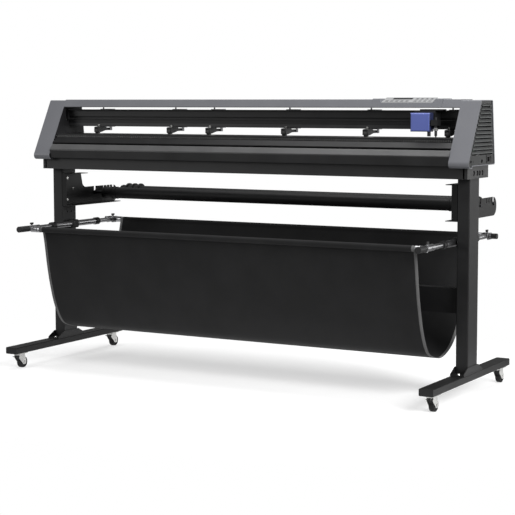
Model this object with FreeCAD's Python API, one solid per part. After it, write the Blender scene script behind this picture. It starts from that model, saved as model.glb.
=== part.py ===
import FreeCAD, Part
import math
import os

# Floor-standing vinyl cutter on a caster stand, with roll holders and a media basket.
# Millimetres. +X to the operator's right, +Y to the back, +Z up.
# The origin is on the floor, under the middle of the machine.

os.makedirs("parts", exist_ok=True)

V = FreeCAD.Vector
X_AXIS = V(1, 0, 0)
Y_AXIS = V(0, 1, 0)
Z_AXIS = V(0, 0, 1)

# ---------------------------------------------------------------- driving dimensions
opening_width = 1924.0        # clear width between the two side walls
cover_width = 85.0            # width of each end cover
leg_length = 770.0            # stand leg, from its base plate to the machine
foot_length = 802.0           # stand foot, front to back, with its end caps

# general clearances
touch_gap = 0.3               # between faces of parts that move past each other
run_fit = 0.05                # radial clearance of a shaft in its bore
seat_gap = 0.5                # round a panel that sits inside another part

# casters
wheel_radius = 25.0
wheel_headroom = 8.2          # between the tyre's top and the fork's crown
wheel_width = 22.0
wheel_trail = 19.0            # axle behind the swivel axis
wheel_side_gap = 1.5
caster_inset = 54.0           # swivel axis from the end of the foot
caster_plate_size = 56.0
caster_plate_thickness = 3.0
race_radius = 18.0
race_height = 4.0
kingpin_radius = 4.0
crown_thickness = 3.5
fork_wall = 2.5
fork_boss = 9.0               # metal round the axle
axle_head = 2.0
tyre_rounding = 4.0
wheel_dish_depth = 4.0
wheel_dish_rim = 8.0
axle_radius = 4.0
pedal_width = 20.0
pedal_reach = 23.0            # toe of the pedal in front of its pivot
pedal_pivot_gap = 5.0         # pivot in front of the tyre
pedal_pivot_drop = 1.0        # pivot below the tyre's top
pedal_pin_radius = 2.0
shoe_depth = 5.5
shoe_length = 12.0

# stand
foot_width = 60.0
foot_height = 29.0
foot_wall = 2.5
end_cap_thickness = 3.0
gusset_plate = 4.0
gusset_wall = 3.0
gusset_foot_length = 194.0
gusset_top_length = 108.0
gusset_height = 26.0
bolt_spread = 78.0            # foot bolts, each side of the leg's centre
roll_arm_bolts = ((-23.0, 124.0), (17.0, 76.0), (-25.0, 28.0))  # (y, above the arm's underside)
leg_width = 52.0
leg_depth = 101.0
leg_wall = 2.5
leg_inset = 26.5              # leg centre outside the side wall's inner face
leg_y = -4.0                  # leg centre, front to back
beam_height = 100.0
beam_depth = 40.0
beam_wall = 2.5
beam_z = 336.0                # underside of the stretcher beam
beam_flange = 4.0

# machine, heights above the top of the legs
base_height = 51.0
base_half_depth = 109.0
base_wall = 3.0
bracket_width = 19.0          # end bracket that closes each end of the base
base_overhang = 45.0          # base from the side wall's inner face to the bracket
joint_width = 7.0             # open joint between the base and a bracket, front and back
joint_depth = 12.0
bracket_recess_radius = 10.5
bracket_recess_depth = 8.0
bracket_recess_height = 21.0  # above the legs' top
bracket_recess_places = (-42.0, -6.0, 18.0, 47.0)
bracket_screw_radius = 5.0
bracket_screw_height = 5.0
platen_top = 157.0
platen_thickness = 42.0
platen_wall = 3.0
bed_plate_inset = 30.0        # last cross plate from the side wall
bed_plate_front = -104.0
bed_plate_back = 100.0
strip_half = 4.0              # cutting strip under the blade
grit_window_gap = 1.5         # round each drum, along the shaft
grit_window_half = 14.0
rail_bottom = 190.0
rail_height = 75.0
rail_front_y = 2.0
rail_depth = 68.0
rail_wall = 3.0
rail_groove_bottom = 30.0     # above the underside of the rail
rail_groove_height = 14.0
rail_groove_depth = 12.0
rail_line_places = (14.0, 56.0)  # thin lines in its face, above its underside
cover_top = 306.0
cover_wall = 3.0
cover_foot_front = -161.0     # where the covers' slanted front face meets the base
cover_top_front = -22.0
cover_top_back = 97.0
cover_foot_back = 127.0
toe_drop = 8.0                # the covers' front toe hangs this far below the base's top
toe_gap = 2.0                 # between the toe and the base's front face
apron_wall = 3.0
vent_setback = 6.0            # vent panel's inner face from the end of the cover
vent_thickness = 2.5
vent_rows = 13
vent_pitch = 15.4
vent_first_drop = 14.0        # top of the first louvre, below the cover's top
vent_slot_top = 6.0           # each slot, below the top of its louvre
vent_slot_bottom = 14.8
vent_blade_height = 10.0
vent_blade_reach = 3.1
vent_screw_height = 17.0      # recesses, above the base's top
vent_recesses = ((43.0, 6.0), (65.0, 4.0), (157.0, 8.0))  # (behind the foot's front, radius)
inlet_bottom = 9.0            # above the base's top
inlet_front = 44.0            # opening for the power inlet, from front to back
inlet_back = 92.0
inlet_height = 28.0
top_cover_bottom = 275.0
top_cover_top = 309.0
top_cover_wall = 2.5
side_wall_thickness = 4.0

# control panel on the top cover
panel_left = 577.0
panel_right = 885.0
keypad_left = 617.0
keypad_right = 841.0
keypad_thickness = 1.5
keypad_slope = 20.0           # degrees, rising to the back
keypad_depth = 58.0
display_left = 36.0           # from the keypad's left end
display_right = 122.0
display_relief = 0.6
key_width = 15.0
key_depth = 14.0
key_relief = 0.8
key_rows = (9.0, 34.0)        # front edges, from the keypad's front
small_key_pitch = 22.0
large_key_left = 136.0
large_key_pitch = 21.0

# media feed
grit_y = -40.0
grit_radius = 12.0
grit_core_radius = 6.0
grit_journal_radius = 5.0
grit_length = 64.0
pinch_radius = 12.0
pinch_width = 14.0
pinch_axle_radius = 2.5
pinch_positions = [-773.0, -387.0, -189.0, 181.0, 558.0, 915.0]
arm_width = 24.0
arm_pivot_y = 40.0
arm_pivot_radius = 3.0
clip_width = 34.0
clip_thickness = 3.0

# pinch roller lift
lift_y = 50.0
lift_height = 14.0            # lift bar above the underside of the rail
lift_bar_radius = 5.0
lift_finger = 19.0
lift_angle = 40.0             # turn of the lever from down to up
lever_length = 106.0
lever_hub_radius = 12.0
lever_shank = 12.0            # height of the shank
lever_thickness = 9.0
lever_grip_radius = 8.5
lever_grip_reach = 18.0       # grip, outside the hub

# carriage
carriage_left = 775.0
carriage_right = 864.0
carriage_depth = 55.0         # black body, in front of the rail
carriage_cap_left = 797.0     # plate on top of the body, over the rail's front edge
carriage_cap_right = 889.0
carriage_cap_rise = 5.0       # above the rail
carriage_tongue_inset = 6.0   # from the ends of the body
blade_block_half = 10.0       # block that carries the blade, each side of it
blade_block_low = 4.0         # above the underside of the body
blade_block_height = 22.0
belt_slot_gap = 1.5           # round each run of the belt
carriage_cover_left = 772.0
carriage_cover_right = 857.0
carriage_cover_depth = 34.0
carriage_cover_height = 73.5
carriage_cover_bottom = 182.0
carriage_cover_rounding = 7.0
carriage_cover_wall = 2.5
carriage_bottom = 202.0       # underside of the body, above the legs' top
belt_width = 8.0
belt_thickness = 1.5
belt_y = -13.0
pulley_radius = 18.0
pulley_pin_radius = 4.0
pulley_offset = 42.0          # pulley axis outside the side wall's inner face
pulley_rim = 3.0
belt_height = 54.0            # pulley axes, above the underside of the rail
motor_radius = 20.0
motor_front = 16.0
motor_back = 62.0
motor_plate_front = 12.0
motor_plate_half = 24.0
feed_motor_radius = 21.0
feed_motor_length = 49.0
blade_x = 878.0
blade_y = -76.0
blade_radius = 5.5
blade_tip_height = 160.0      # above the legs' top, lifted off the bed
blade_tip_length = 6.0
blade_body_length = 72.0
blade_knob_height = 26.0      # underside of the knob, above the tip
blade_knob_length = 10.0
blade_knob_rim = 3.0
sensor_x = 849.0
sensor_radius = 7.0
sensor_drop = 18.0

# roll holder
roll_radius = 26.0
roll_wall = 2.5
roll_ring_radius = 28.0
roll_stop_radius = 37.0
roll_stop_length = 72.0
roll_stop_rib = 7.0
roll_stop_inset = 36.0        # from the end of the shaft
roll_axle_radius = 7.0
roll_plug_length = 12.0
roll_ring_length = 6.0
roll_collar_radius = 11.0
front_ring_places = (12.0, 54.0, 76.0)  # from the end of the shaft
back_ring_places = (12.0,)
roll_arm_wall = 3.0
roll_arm_lip = 50.0
roll_arm_flange = 24.0
roll_arm_height = 146.0       # of the web, beside the leg
roll_arm_reach_height = 78.0  # of the arm that reaches back
roll_arm_shoulder = 136.0     # web's top edge, from the front of the leg
roll_arm_top_lip = 128.0
spare_notches = (260.0, 285.0, 310.0)
spare_notch_half = 3.5
spare_notch_depth = 22.0
roll_arm_drop = 170.0         # underside of the arm, below the top of the legs
front_roll_y = 190.0
back_roll_y = 335.0
roll_drop = 120.0             # shaft axes, below the top of the legs
roll_half_length = 905.0
roll_arm_end_y = 369.0

# basket
side_tube_inset = 17.0        # side tube axis inside the side wall's inner face
side_tube_drop = 254.0        # below the top of the legs
side_tube_radius = 13.5
side_tube_front = 157.0       # from the leg's centre
side_tube_back = 190.0
side_collar_length = 22.0
side_collar_rim = 3.0
side_clamp_front = 18.0
side_clamp_back = 22.0
side_clamp_wall = 5.0
slide_tube_radius = 10.0
cross_rail_radius = 10.0
front_rail_y = -300.0
front_rail_drop = 258.0
rear_rail_y = 315.0
rear_rail_drop = 254.0
rear_rail_half = 986.0
cloth_half = 895.0
cloth_thickness = 2.0
# line of the hanging cloth: (y, depth below the top of the legs), front to back
cloth_line = [(-276.0, 322.0), (-261.0, 417.0), (-224.0, 567.0), (-160.0, 670.0), (-40.0, 716.0),
              (50.0, 699.0), (118.0, 672.0), (205.0, 560.0), (262.0, 400.0)]
hem_gap = 0.5
fitting_wall = 3.0
fitting_front = 20.0          # front fitting's sleeve, from the cross rail's axis
fitting_back = 50.0
fitting_socket = 34.0         # socket for the cross rail, from the slide tube's axis
fitting_recess_radius = 5.0
front_cap_length = 64.0
rear_cap_length = 22.0
rear_cap_wall = 1.5
clamp_reach = 36.0            # rear clamp's cheeks, in front of the cross rail's axis
clamp_bolt_reach = 25.0
front_tube_reach = 90.0       # slide tube in front of the front cross rail
slide_tube_end = 90.0         # inner end of a slide tube, from the leg's centre

# ---------------------------------------------------------------- derived places
inner_x = opening_width / 2.0
outer_x = inner_x + cover_width
leg_x = inner_x + leg_inset
caster_height = (2.0 * wheel_radius + wheel_headroom + crown_thickness + touch_gap + race_height
                 + caster_plate_thickness)
pedal_pivot_y = wheel_trail - wheel_radius - pedal_pivot_gap
pedal_pivot_z = 2.0 * wheel_radius - pedal_pivot_drop
foot_bottom = caster_height
foot_top = foot_bottom + foot_height
leg_bottom = foot_top + gusset_plate
deck = leg_bottom + leg_length
base_top = deck + base_height
roll_arm_bottom = deck - roll_arm_drop
roll_z = deck - roll_drop
side_tube_z = deck - side_tube_drop
front_rail_z = deck - front_rail_drop
rear_rail_z = deck - rear_rail_drop
platen_z = deck + platen_top
rail_z0 = deck + rail_bottom
rail_z1 = rail_z0 + rail_height
rail_back_y = rail_front_y + rail_depth
base_half = inner_x + base_overhang
caster_y = foot_length / 2.0 - caster_inset
grit_z = platen_z + 1.0 - grit_radius
pinch_z = grit_z + grit_radius + touch_gap + pinch_radius
arm_pivot_z = rail_z0 - 11.0
lift_z = rail_z0 + lift_height
side_tube_x = inner_x - side_tube_inset
shift_x = inner_x - 962.0     # keeps the right-hand features at their distance from the wall
keypad_front_y = -26.0
keypad_front_z = deck + top_cover_bottom + 20.0


# ---------------------------------------------------------------- helpers
def box(x0, x1, y0, y1, z0, z1):
    return Part.makeBox(x1 - x0, y1 - y0, z1 - z0, V(x0, y0, z0))


def rod_x(x0, x1, y, z, r):
    return Part.makeCylinder(r, x1 - x0, V(x0, y, z), X_AXIS)


def rod_y(y0, y1, x, z, r):
    return Part.makeCylinder(r, y1 - y0, V(x, y0, z), Y_AXIS)


def rod_z(z0, z1, x, y, r):
    return Part.makeCylinder(r, z1 - z0, V(x, y, z0), Z_AXIS)


def rounded_wire(points, place):
    """Closed wire through (a, b, radius) corners; place turns (a, b) into a 3D point."""
    count = len(points)
    corners = []
    for i in range(count):
        a, b, r = points[i]
        here = V(a, b, 0)
        before = V(points[i - 1][0], points[i - 1][1], 0)
        after = V(points[(i + 1) % count][0], points[(i + 1) % count][1], 0)
        if r <= 0:
            corners.append((here, here, here))
            continue
        u = (before - here).normalize()
        w = (after - here).normalize()
        half = u.getAngle(w) / 2.0
        reach = r / math.tan(half)
        middle = (u + w).normalize()
        arc_mid = here + middle * (r / math.sin(half) - r)
        corners.append((here + u * reach, arc_mid, here + w * reach))
    edges = []
    for i in range(count):
        start, mid, end = corners[i]
        if (end - start).Length > 1e-6:
            edges.append(Part.Arc(place(start), place(mid), place(end)).toShape())
        following = corners[(i + 1) % count][0]
        if (following - end).Length > 1e-6:
            edges.append(Part.LineSegment(place(end), place(following)).toShape())
    return Part.Wire(edges)


def profile_x(points, x0, x1):
    """Extrude a (y, z, radius) outline along X."""
    wire = rounded_wire(points, lambda p: V(x0, p.x, p.y))
    return Part.Face(wire).extrude(V(x1 - x0, 0, 0))


def profile_y(points, y0, y1):
    """Extrude an (x, z, radius) outline along Y."""
    wire = rounded_wire(points, lambda p: V(p.x, y0, p.y))
    return Part.Face(wire).extrude(V(0, y1 - y0, 0))


def profile_z(points, z0, z1):
    """Extrude an (x, y, radius) outline along Z."""
    wire = rounded_wire(points, lambda p: V(p.x, p.y, z0))
    return Part.Face(wire).extrude(V(0, 0, z1 - z0))


def fuse(shapes):
    result = shapes[0]
    if len(shapes) > 1:
        result = result.fuse(shapes[1:])
    return result.removeSplitter()


def cut(shape, tools):
    return shape.cut(tools)


def mirror_x(shape):
    return shape.mirror(V(0, 0, 0), X_AXIS)


def moved(shape, x, y, z):
    copy = shape.copy()
    copy.translate(V(x, y, z))
    return copy


def both_sides(shape):
    return [shape, mirror_x(shape)]


def save(name, shapes):
    """Write one node: a single solid, or a group of separate solids."""
    if not isinstance(shapes, list):
        shapes = [shapes]
    solids = []
    for shape in shapes:
        solids.extend(shape.Solids)
    body = solids[0] if len(solids) == 1 else Part.makeCompound(solids)
    body.exportStep("parts/" + name + ".step")
    print(name, len(solids), "solids")


# ---------------------------------------------------------------- casters
def caster_plate(x, y):
    half = caster_plate_size / 2.0
    plate_z = caster_height - caster_plate_thickness
    race_z = plate_z - race_height
    corner = 6.0
    plate = profile_z([(x - half, y - half, corner), (x + half, y - half, corner),
                       (x + half, y + half, corner), (x - half, y + half, corner)],
                      plate_z, caster_height)
    race = rod_z(race_z, plate_z, x, y, race_radius)
    pin = rod_z(race_z - crown_thickness - touch_gap, race_z, x, y, kingpin_radius)
    return fuse([plate, race, pin])


def caster_fork(x, y):
    race_z = caster_height - caster_plate_thickness - race_height
    crown_top = race_z - touch_gap
    crown_bottom = crown_top - crown_thickness
    cheek = wheel_width / 2.0 + wheel_side_gap
    boss = fork_boss
    front = y + pedal_pivot_y - 6.0
    back = y + wheel_trail + 1.0
    crown = profile_z([(x - cheek - fork_wall, front, 5), (x + cheek + fork_wall, front, 5),
                       (x + cheek + fork_wall, back, 5), (x - cheek - fork_wall, back, 5)],
                      crown_bottom, crown_top)
    side = [(front, crown_top, 0), (front, crown_bottom - 12, 6),
            (y + wheel_trail - boss - 1, wheel_radius - boss, 8),
            (y + wheel_trail + boss, wheel_radius - boss, 8),
            (back + boss, wheel_radius + 4, 6), (back, crown_top, 0)]
    cheeks = [profile_x(side, x + s, x + s + fork_wall) for s in (cheek, -cheek - fork_wall)]
    body = fuse([crown] + cheeks)
    holes = [rod_z(crown_bottom - 1, crown_top + 1, x, y, kingpin_radius + run_fit),
             rod_x(x - 20, x + 20, y + wheel_trail, wheel_radius, axle_radius)]
    body = cut(body, holes)
    axle = rod_x(x - cheek - fork_wall, x + cheek + fork_wall, y + wheel_trail, wheel_radius,
                 axle_radius)
    heads = [rod_x(x + s, x + s + axle_head, y + wheel_trail, wheel_radius, axle_radius + axle_head)
             for s in (cheek + fork_wall, -cheek - fork_wall - axle_head)]
    pin = rod_x(x - cheek - 1, x + cheek + 1, y + pedal_pivot_y, pedal_pivot_z, pedal_pin_radius)
    return Part.makeCompound([fuse([body, pin]), fuse([axle] + heads)])


def caster_wheel(x, y):
    yc = y + wheel_trail
    half = wheel_width / 2.0
    tyre = rod_x(x - half, x + half, yc, wheel_radius, wheel_radius)
    tyre = tyre.makeFillet(tyre_rounding, [e for e in tyre.Edges if len(e.Vertexes) == 1])
    r = wheel_radius - wheel_dish_rim
    dish = [rod_x(x + half - wheel_dish_depth, x + half + 1, yc, wheel_radius, r),
            rod_x(x - half - 1, x - half + wheel_dish_depth, yc, wheel_radius, r)]
    hub = rod_x(x - half - 1, x + half + 1, yc, wheel_radius, axle_radius + 4)
    bore = rod_x(x - half - 2, x + half + 2, yc, wheel_radius, axle_radius + run_fit)
    return cut(fuse([cut(tyre, dish), hub]), [bore])


def caster_brake(x, y):
    """Bent pedal: its toe sticks out in front and its shoe presses the tyre."""
    pivot_y = y + pedal_pivot_y
    pivot_z = pedal_pivot_z
    half = pedal_width / 2.0
    tip = pivot_y - pedal_reach
    toe = profile_x([(tip, pivot_z + 3.5, 1), (tip, pivot_z + 6.5, 1),
                     (pivot_y, pivot_z + 3, 0), (pivot_y, pivot_z, 0)], x - half, x + half)
    shoe = box(x - half + 2, x + half - 2, pivot_y - 1.5, pivot_y + shoe_depth,
               pivot_z - shoe_length, pivot_z)
    barrel = rod_x(x - half, x + half, pivot_y, pivot_z, 4.0)
    bore = rod_x(x - half - 1, x + half + 1, pivot_y, pivot_z, pedal_pin_radius + run_fit)
    return cut(fuse([toe, shoe, barrel]), [bore])


def build_casters():
    places = [("front_left", -leg_x, -caster_y), ("front_right", leg_x, -caster_y),
              ("rear_left", -leg_x, caster_y), ("rear_right", leg_x, caster_y)]
    save("caster_plates", [caster_plate(x, y) for name, x, y in places])
    for name, x, y in places:
        save(name + "_fork", caster_fork(x, y))
        save(name + "_wheel", caster_wheel(x, y))
        save(name + "_brake", caster_brake(x, y))


# ---------------------------------------------------------------- stand
def foot_tube():
    half_w = foot_width / 2.0
    half_l = foot_length / 2.0 - end_cap_thickness
    edge = 4.0
    outer = profile_y([(leg_x - half_w, foot_bottom, edge), (leg_x + half_w, foot_bottom, edge),
                       (leg_x + half_w, foot_top, edge), (leg_x - half_w, foot_top, edge)],
                      -half_l, half_l)
    w = foot_wall
    inner = profile_y([(leg_x - half_w + w, foot_bottom + w, edge - w),
                       (leg_x + half_w - w, foot_bottom + w, edge - w),
                       (leg_x + half_w - w, foot_top - w, edge - w),
                       (leg_x - half_w + w, foot_top - w, edge - w)],
                      -half_l - 1, half_l + 1)
    return cut(outer, [inner])


def foot_cap(y_sign):
    """Plastic plug with a flange that covers the tube's end."""
    half_w = foot_width / 2.0
    half_l = foot_length / 2.0
    plug = 14.0
    edge = 4.0
    a = half_l - end_cap_thickness
    flange = profile_y([(leg_x - half_w, foot_bottom, edge), (leg_x + half_w, foot_bottom, edge),
                        (leg_x + half_w, foot_top, edge), (leg_x - half_w, foot_top, edge)],
                       a, half_l)
    g = foot_wall + 0.2
    stem = box(leg_x - half_w + g + 1, leg_x + half_w - g - 1, a - plug, a,
               foot_bottom + g + 1, foot_top - g - 1)
    cap = fuse([flange, stem])
    if y_sign < 0:
        cap = cap.mirror(V(0, 0, 0), Y_AXIS)
    return cap


def leg_tube():
    half_w = leg_width / 2.0
    half_d = leg_depth / 2.0
    edge = 5.0
    outer = profile_z([(leg_x - half_w, leg_y - half_d, edge), (leg_x + half_w, leg_y - half_d, edge),
                       (leg_x + half_w, leg_y + half_d, edge), (leg_x - half_w, leg_y + half_d, edge)],
                      leg_bottom, deck)
    w = leg_wall
    inner = profile_z([(leg_x - half_w + w, leg_y - half_d + w, edge - w),
                       (leg_x + half_w - w, leg_y - half_d + w, edge - w),
                       (leg_x + half_w - w, leg_y + half_d - w, edge - w),
                       (leg_x - half_w + w, leg_y + half_d - w, edge - w)],
                      leg_bottom - 1, deck + 1)
    cable_holes = [rod_x(leg_x - half_w - 1, leg_x - half_w + w + 1, leg_y + dy,
                         side_tube_z + 55, 4.0) for dy in (-14.0, 14.0)]
    return cut(outer, [inner] + cable_holes)


def gusset():
    half_w = foot_width / 2.0
    low = gusset_foot_length / 2.0
    high = gusset_top_length / 2.0
    top = leg_bottom + gusset_height
    plate = box(leg_x - half_w, leg_x + half_w, leg_y - low, leg_y + low, foot_top, leg_bottom)
    outline = [(leg_y - low, foot_top, 0), (leg_y + low, foot_top, 0),
               (leg_y + low, leg_bottom + 3, 0), (leg_y + high, top, 0),
               (leg_y - high, top, 0), (leg_y - low, leg_bottom + 3, 0)]
    face = leg_width / 2.0
    cheeks = [profile_x(outline, leg_x + face, leg_x + face + gusset_wall),
              profile_x(outline, leg_x - face - gusset_wall, leg_x - face)]
    return fuse([plate] + cheeks)


def stretcher():
    """Box beam between the legs, with a bolted flange at each end."""
    half = leg_x - leg_width / 2.0
    d = beam_depth / 2.0
    x1 = half - beam_flange
    outer = box(-x1, x1, leg_y - d, leg_y + d, beam_z, beam_z + beam_height)
    w = beam_wall
    inner = box(-x1 - 1, x1 + 1, leg_y - d + w, leg_y + d - w, beam_z + w, beam_z + beam_height - w)
    beam = cut(outer, [inner])
    lip = 14.0
    flange = box(x1, half, leg_y - d, leg_y + d, beam_z - lip, beam_z + beam_height + lip)
    return fuse([beam] + both_sides(flange))


def button_heads():
    """Bolt heads that show on the stand, each seated flat on its face."""
    heads = []
    inner_face = leg_x - leg_width / 2.0
    web_face = inner_face - roll_arm_wall
    places = [(V(leg_x, leg_y + dy, leg_bottom), V(0, 0, 1), 8.0) for dy in (-bolt_spread, bolt_spread)]
    for y, z in roll_arm_bolts:
        places.append((V(web_face, y, roll_arm_bottom + z), V(-1, 0, 0), 7.0))
    for dz in (-7.0, beam_height + 7.0):
        places.append((V(inner_face - beam_flange, leg_y, beam_z + dz), V(-1, 0, 0), 6.0))
    for point, axis, radius in places:
        height = radius * 0.55
        head = Part.makeCone(radius, radius * 0.75, height, point, axis)
        socket = Part.makeCylinder(radius * 0.38, height, point + axis * (height * 0.4), axis)
        heads.append(head.cut(socket))
    return heads + [mirror_x(h) for h in heads]


def build_stand():
    save("right_foot", foot_tube())
    save("left_foot", mirror_x(foot_tube()))
    caps = [foot_cap(1), foot_cap(-1)]
    save("foot_end_caps", caps + [mirror_x(c) for c in caps])
    save("right_leg", leg_tube())
    save("left_leg", mirror_x(leg_tube()))
    save("leg_gussets", both_sides(gusset()))
    save("stretcher_beam", stretcher())
    save("stand_bolts", button_heads())


# ---------------------------------------------------------------- roll holder
def roll_arm():
    """Folded bracket on the leg: a web, three lips, and an arm with shaft notches."""
    face = leg_x - leg_width / 2.0
    x0 = face - roll_arm_wall
    z0 = roll_arm_bottom
    high = z0 + roll_arm_height
    arm_top = z0 + roll_arm_reach_height
    front = leg_y - leg_depth / 2.0
    outline = [(front, z0, 0), (roll_arm_end_y, z0, 36), (roll_arm_end_y, arm_top, 36),
               (front + roll_arm_shoulder + 16.0, arm_top, 26),
               (front + roll_arm_shoulder, high, 4), (front, high, 0)]
    web = profile_x(outline, x0, face)
    flange = box(face - roll_arm_flange, x0, front, front + roll_arm_wall, z0, high)
    bottom_lip = box(face - roll_arm_lip, x0, front, roll_arm_end_y - 40.0, z0, z0 + roll_arm_wall)
    top_lip = box(face - roll_arm_lip, x0, front, front + roll_arm_top_lip, high - roll_arm_wall, high)
    arm = fuse([web, flange, bottom_lip, top_lip])
    cuts = []
    for y in (front_roll_y, back_roll_y):
        r = roll_axle_radius + touch_gap
        cuts.append(rod_x(x0 - 1, face + 1, y, roll_z, r))
        cuts.append(box(x0 - 1, face + 1, y - r, y + r, roll_z, arm_top + 1))
    for y in spare_notches:
        cuts.append(box(x0 - 1, face + 1, y - spare_notch_half, y + spare_notch_half,
                        arm_top - spare_notch_depth, arm_top + 1))
    return cut(arm, cuts)


def roll_shaft(y, ring_places):
    """Steel tube on two plugs with axles for the notches, and rings on its ends."""
    half = roll_half_length + shift_x
    web_outer = leg_x - leg_width / 2.0
    hollow = half - roll_plug_length
    tube = cut(rod_x(-half, half, y, roll_z, roll_radius),
               [rod_x(-hollow, hollow, y, roll_z, roll_radius - roll_wall)])
    rings = []
    for place in ring_places:
        x = half - place
        rings += both_sides(rod_x(x, x + roll_ring_length, y, roll_z, roll_ring_radius))
    axle = rod_x(half, web_outer + 5, y, roll_z, roll_axle_radius)
    web_inner = web_outer - roll_arm_wall
    collar = rod_x(web_inner - 6, web_inner - 2, y, roll_z, roll_collar_radius)
    return fuse([tube] + rings + both_sides(axle) + both_sides(collar))


def roll_stop():
    """Three-ribbed flange that slides along the back shaft and centres the roll."""
    length = roll_stop_length
    x0 = roll_half_length + shift_x - roll_stop_inset - length
    rib = roll_stop_rib
    barrel = rod_x(x0, x0 + length, back_roll_y, roll_z, roll_radius + 4)
    ribs = [rod_x(x0 + dx, x0 + dx + rib, back_roll_y, roll_z, roll_stop_radius)
            for dx in (0.0, (length - rib) / 2.0, length - rib)]
    bore = rod_x(x0 - 1, x0 + length + 1, back_roll_y, roll_z, roll_radius + run_fit)
    return cut(fuse([barrel] + ribs), [bore])


def build_roll_holder():
    save("right_roll_arm", roll_arm())
    save("left_roll_arm", mirror_x(roll_arm()))
    save("front_roll_shaft", roll_shaft(front_roll_y, front_ring_places))
    save("back_roll_shaft", roll_shaft(back_roll_y, back_ring_places))
    save("right_roll_stop", roll_stop())
    save("left_roll_stop", mirror_x(roll_stop()))


# ---------------------------------------------------------------- basket
def side_tube():
    """Outer tube of the telescoping side rail, with a collar at each end."""
    x = side_tube_x
    y0 = leg_y - side_tube_front
    y1 = leg_y + side_tube_back
    collar = side_collar_length
    r = side_tube_radius + side_collar_rim
    tube = rod_y(y0, y1, x, side_tube_z, side_tube_radius)
    rings = [rod_y(y0 - 4, y0 + collar, x, side_tube_z, r),
             rod_y(y1 - collar, y1 + 4, x, side_tube_z, r)]
    bore = rod_y(y0 - 10, y1 + 10, x, side_tube_z, slide_tube_radius + run_fit)
    return cut(fuse([tube] + rings), [bore])


def side_clamp():
    """Split block that holds the side tube to the leg."""
    x = side_tube_x
    r = side_tube_radius + side_clamp_wall
    y0 = leg_y - side_clamp_front
    y1 = leg_y + side_clamp_back
    face = leg_x - leg_width / 2.0
    block = profile_y([(x - r, side_tube_z - r, 8), (face, side_tube_z - r, 0),
                       (face, side_tube_z + r, 0), (x - r, side_tube_z + r, 8)],
                      y0, y1)
    return cut(block, [rod_y(y0 - 2, y1 + 2, x, side_tube_z, side_tube_radius)])


def hem_ring(half, y, z):
    """Steel ring on a cross rail that keeps the cloth from creeping off its end."""
    start = cloth_half + shift_x + 2.0
    return both_sides(rod_x(start, half, y, z, cross_rail_radius + 3))


def front_rail():
    """Front cross rail; its ends sit in the sockets of the two front fittings."""
    half = side_tube_x - slide_tube_radius - 1.0
    y, z = front_rail_y, front_rail_z
    return fuse([rod_x(-half, half, y, z, cross_rail_radius)]
                + hem_ring(cloth_half + shift_x + 13.0, y, z))


def front_fitting():
    """T fitting: a sleeve on the slide tube with a socket for the cross rail."""
    x = side_tube_x
    y, z = front_rail_y, front_rail_z
    r = slide_tube_radius + fitting_wall
    y0 = y - fitting_front
    y1 = y + fitting_back
    sleeve = rod_y(y0, y1, x, side_tube_z, r)
    socket = rod_x(x - fitting_socket, x, y, z, cross_rail_radius + fitting_wall)
    bores = [rod_y(y0 - 1, y1 + 1, x, side_tube_z, slide_tube_radius),
             rod_x(x - fitting_socket - 1, x - slide_tube_radius - 0.5, y, z, cross_rail_radius),
             rod_x(x + r - 2, x + r + 1, (y0 + y1) / 2.0, side_tube_z, fitting_recess_radius)]
    return cut(fuse([sleeve, socket, wing_screw(y, r)]), bores)


def wing_screw(y, radius):
    """Screw with a flat wing, standing on top of a fitting."""
    x = side_tube_x
    stem = rod_z(side_tube_z, side_tube_z + radius + 5, x, y, 4.0)
    wing = box(x - 3, x + 3, y - 9, y + 9, side_tube_z + radius + 4, side_tube_z + radius + 12)
    return fuse([stem, wing])


def front_tube():
    """Slide tube from its capped front end, through the fitting, into the side tube."""
    start = front_rail_y - front_tube_reach + fitting_wall
    return rod_y(start, leg_y - slide_tube_end, side_tube_x, side_tube_z, slide_tube_radius)


def front_cap():
    end = front_rail_y - front_tube_reach
    stop = end + front_cap_length
    outer = rod_y(end, stop, side_tube_x, side_tube_z, slide_tube_radius + fitting_wall)
    bore = rod_y(end + fitting_wall, stop + 1, side_tube_x, side_tube_z, slide_tube_radius)
    return cut(outer, [bore])


def rear_rail():
    """Rear cross rail; it passes through both corner clamps."""
    half = rear_rail_half + shift_x
    y, z = rear_rail_y, rear_rail_z
    rail = rod_x(-half, half, y, z, cross_rail_radius)
    return fuse([rail] + hem_ring(side_tube_x - slide_tube_radius - 7.0, y, z))


def rear_cap():
    half = rear_rail_half + shift_x
    start = half - rear_cap_length
    r = cross_rail_radius + rear_cap_wall
    outer = rod_x(start, half + fitting_wall, rear_rail_y, rear_rail_z, r)
    bore = rod_x(start - 1, half, rear_rail_y, rear_rail_z, cross_rail_radius)
    return cut(outer, [bore])


def rear_clamp():
    """U clamp: two cheeks and a web round the cross rail, bolted to the slide tube."""
    x = side_tube_x
    y, z = rear_rail_y, rear_rail_z
    cheek = slide_tube_radius + 3
    t = fitting_wall
    r = cross_rail_radius + 4
    front = y - clamp_reach
    outline = [(y + r, z - r, 8), (front, z - r, 6), (front, z + r, 6), (y + r, z + r, 8)]
    plates = [profile_x(outline, x + s, x + s + t) for s in (cheek, -cheek - t)]
    web = box(x - cheek, x + cheek, y + r - t, y + r, z - r + 8, z + r - 8)
    top = box(x - cheek, x + cheek, y - 12, y + 4, z + r - t, z + r)
    hole = rod_x(x - 40, x + 40, y, z, cross_rail_radius)
    body = cut(fuse(plates + [web, top]), [hole])
    below = box(x - 20, x + 20, y - 40, y + 40, z - 40, z + r - 1)
    return fuse([body, cut(wing_screw(y - 4, r), [below])])


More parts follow.
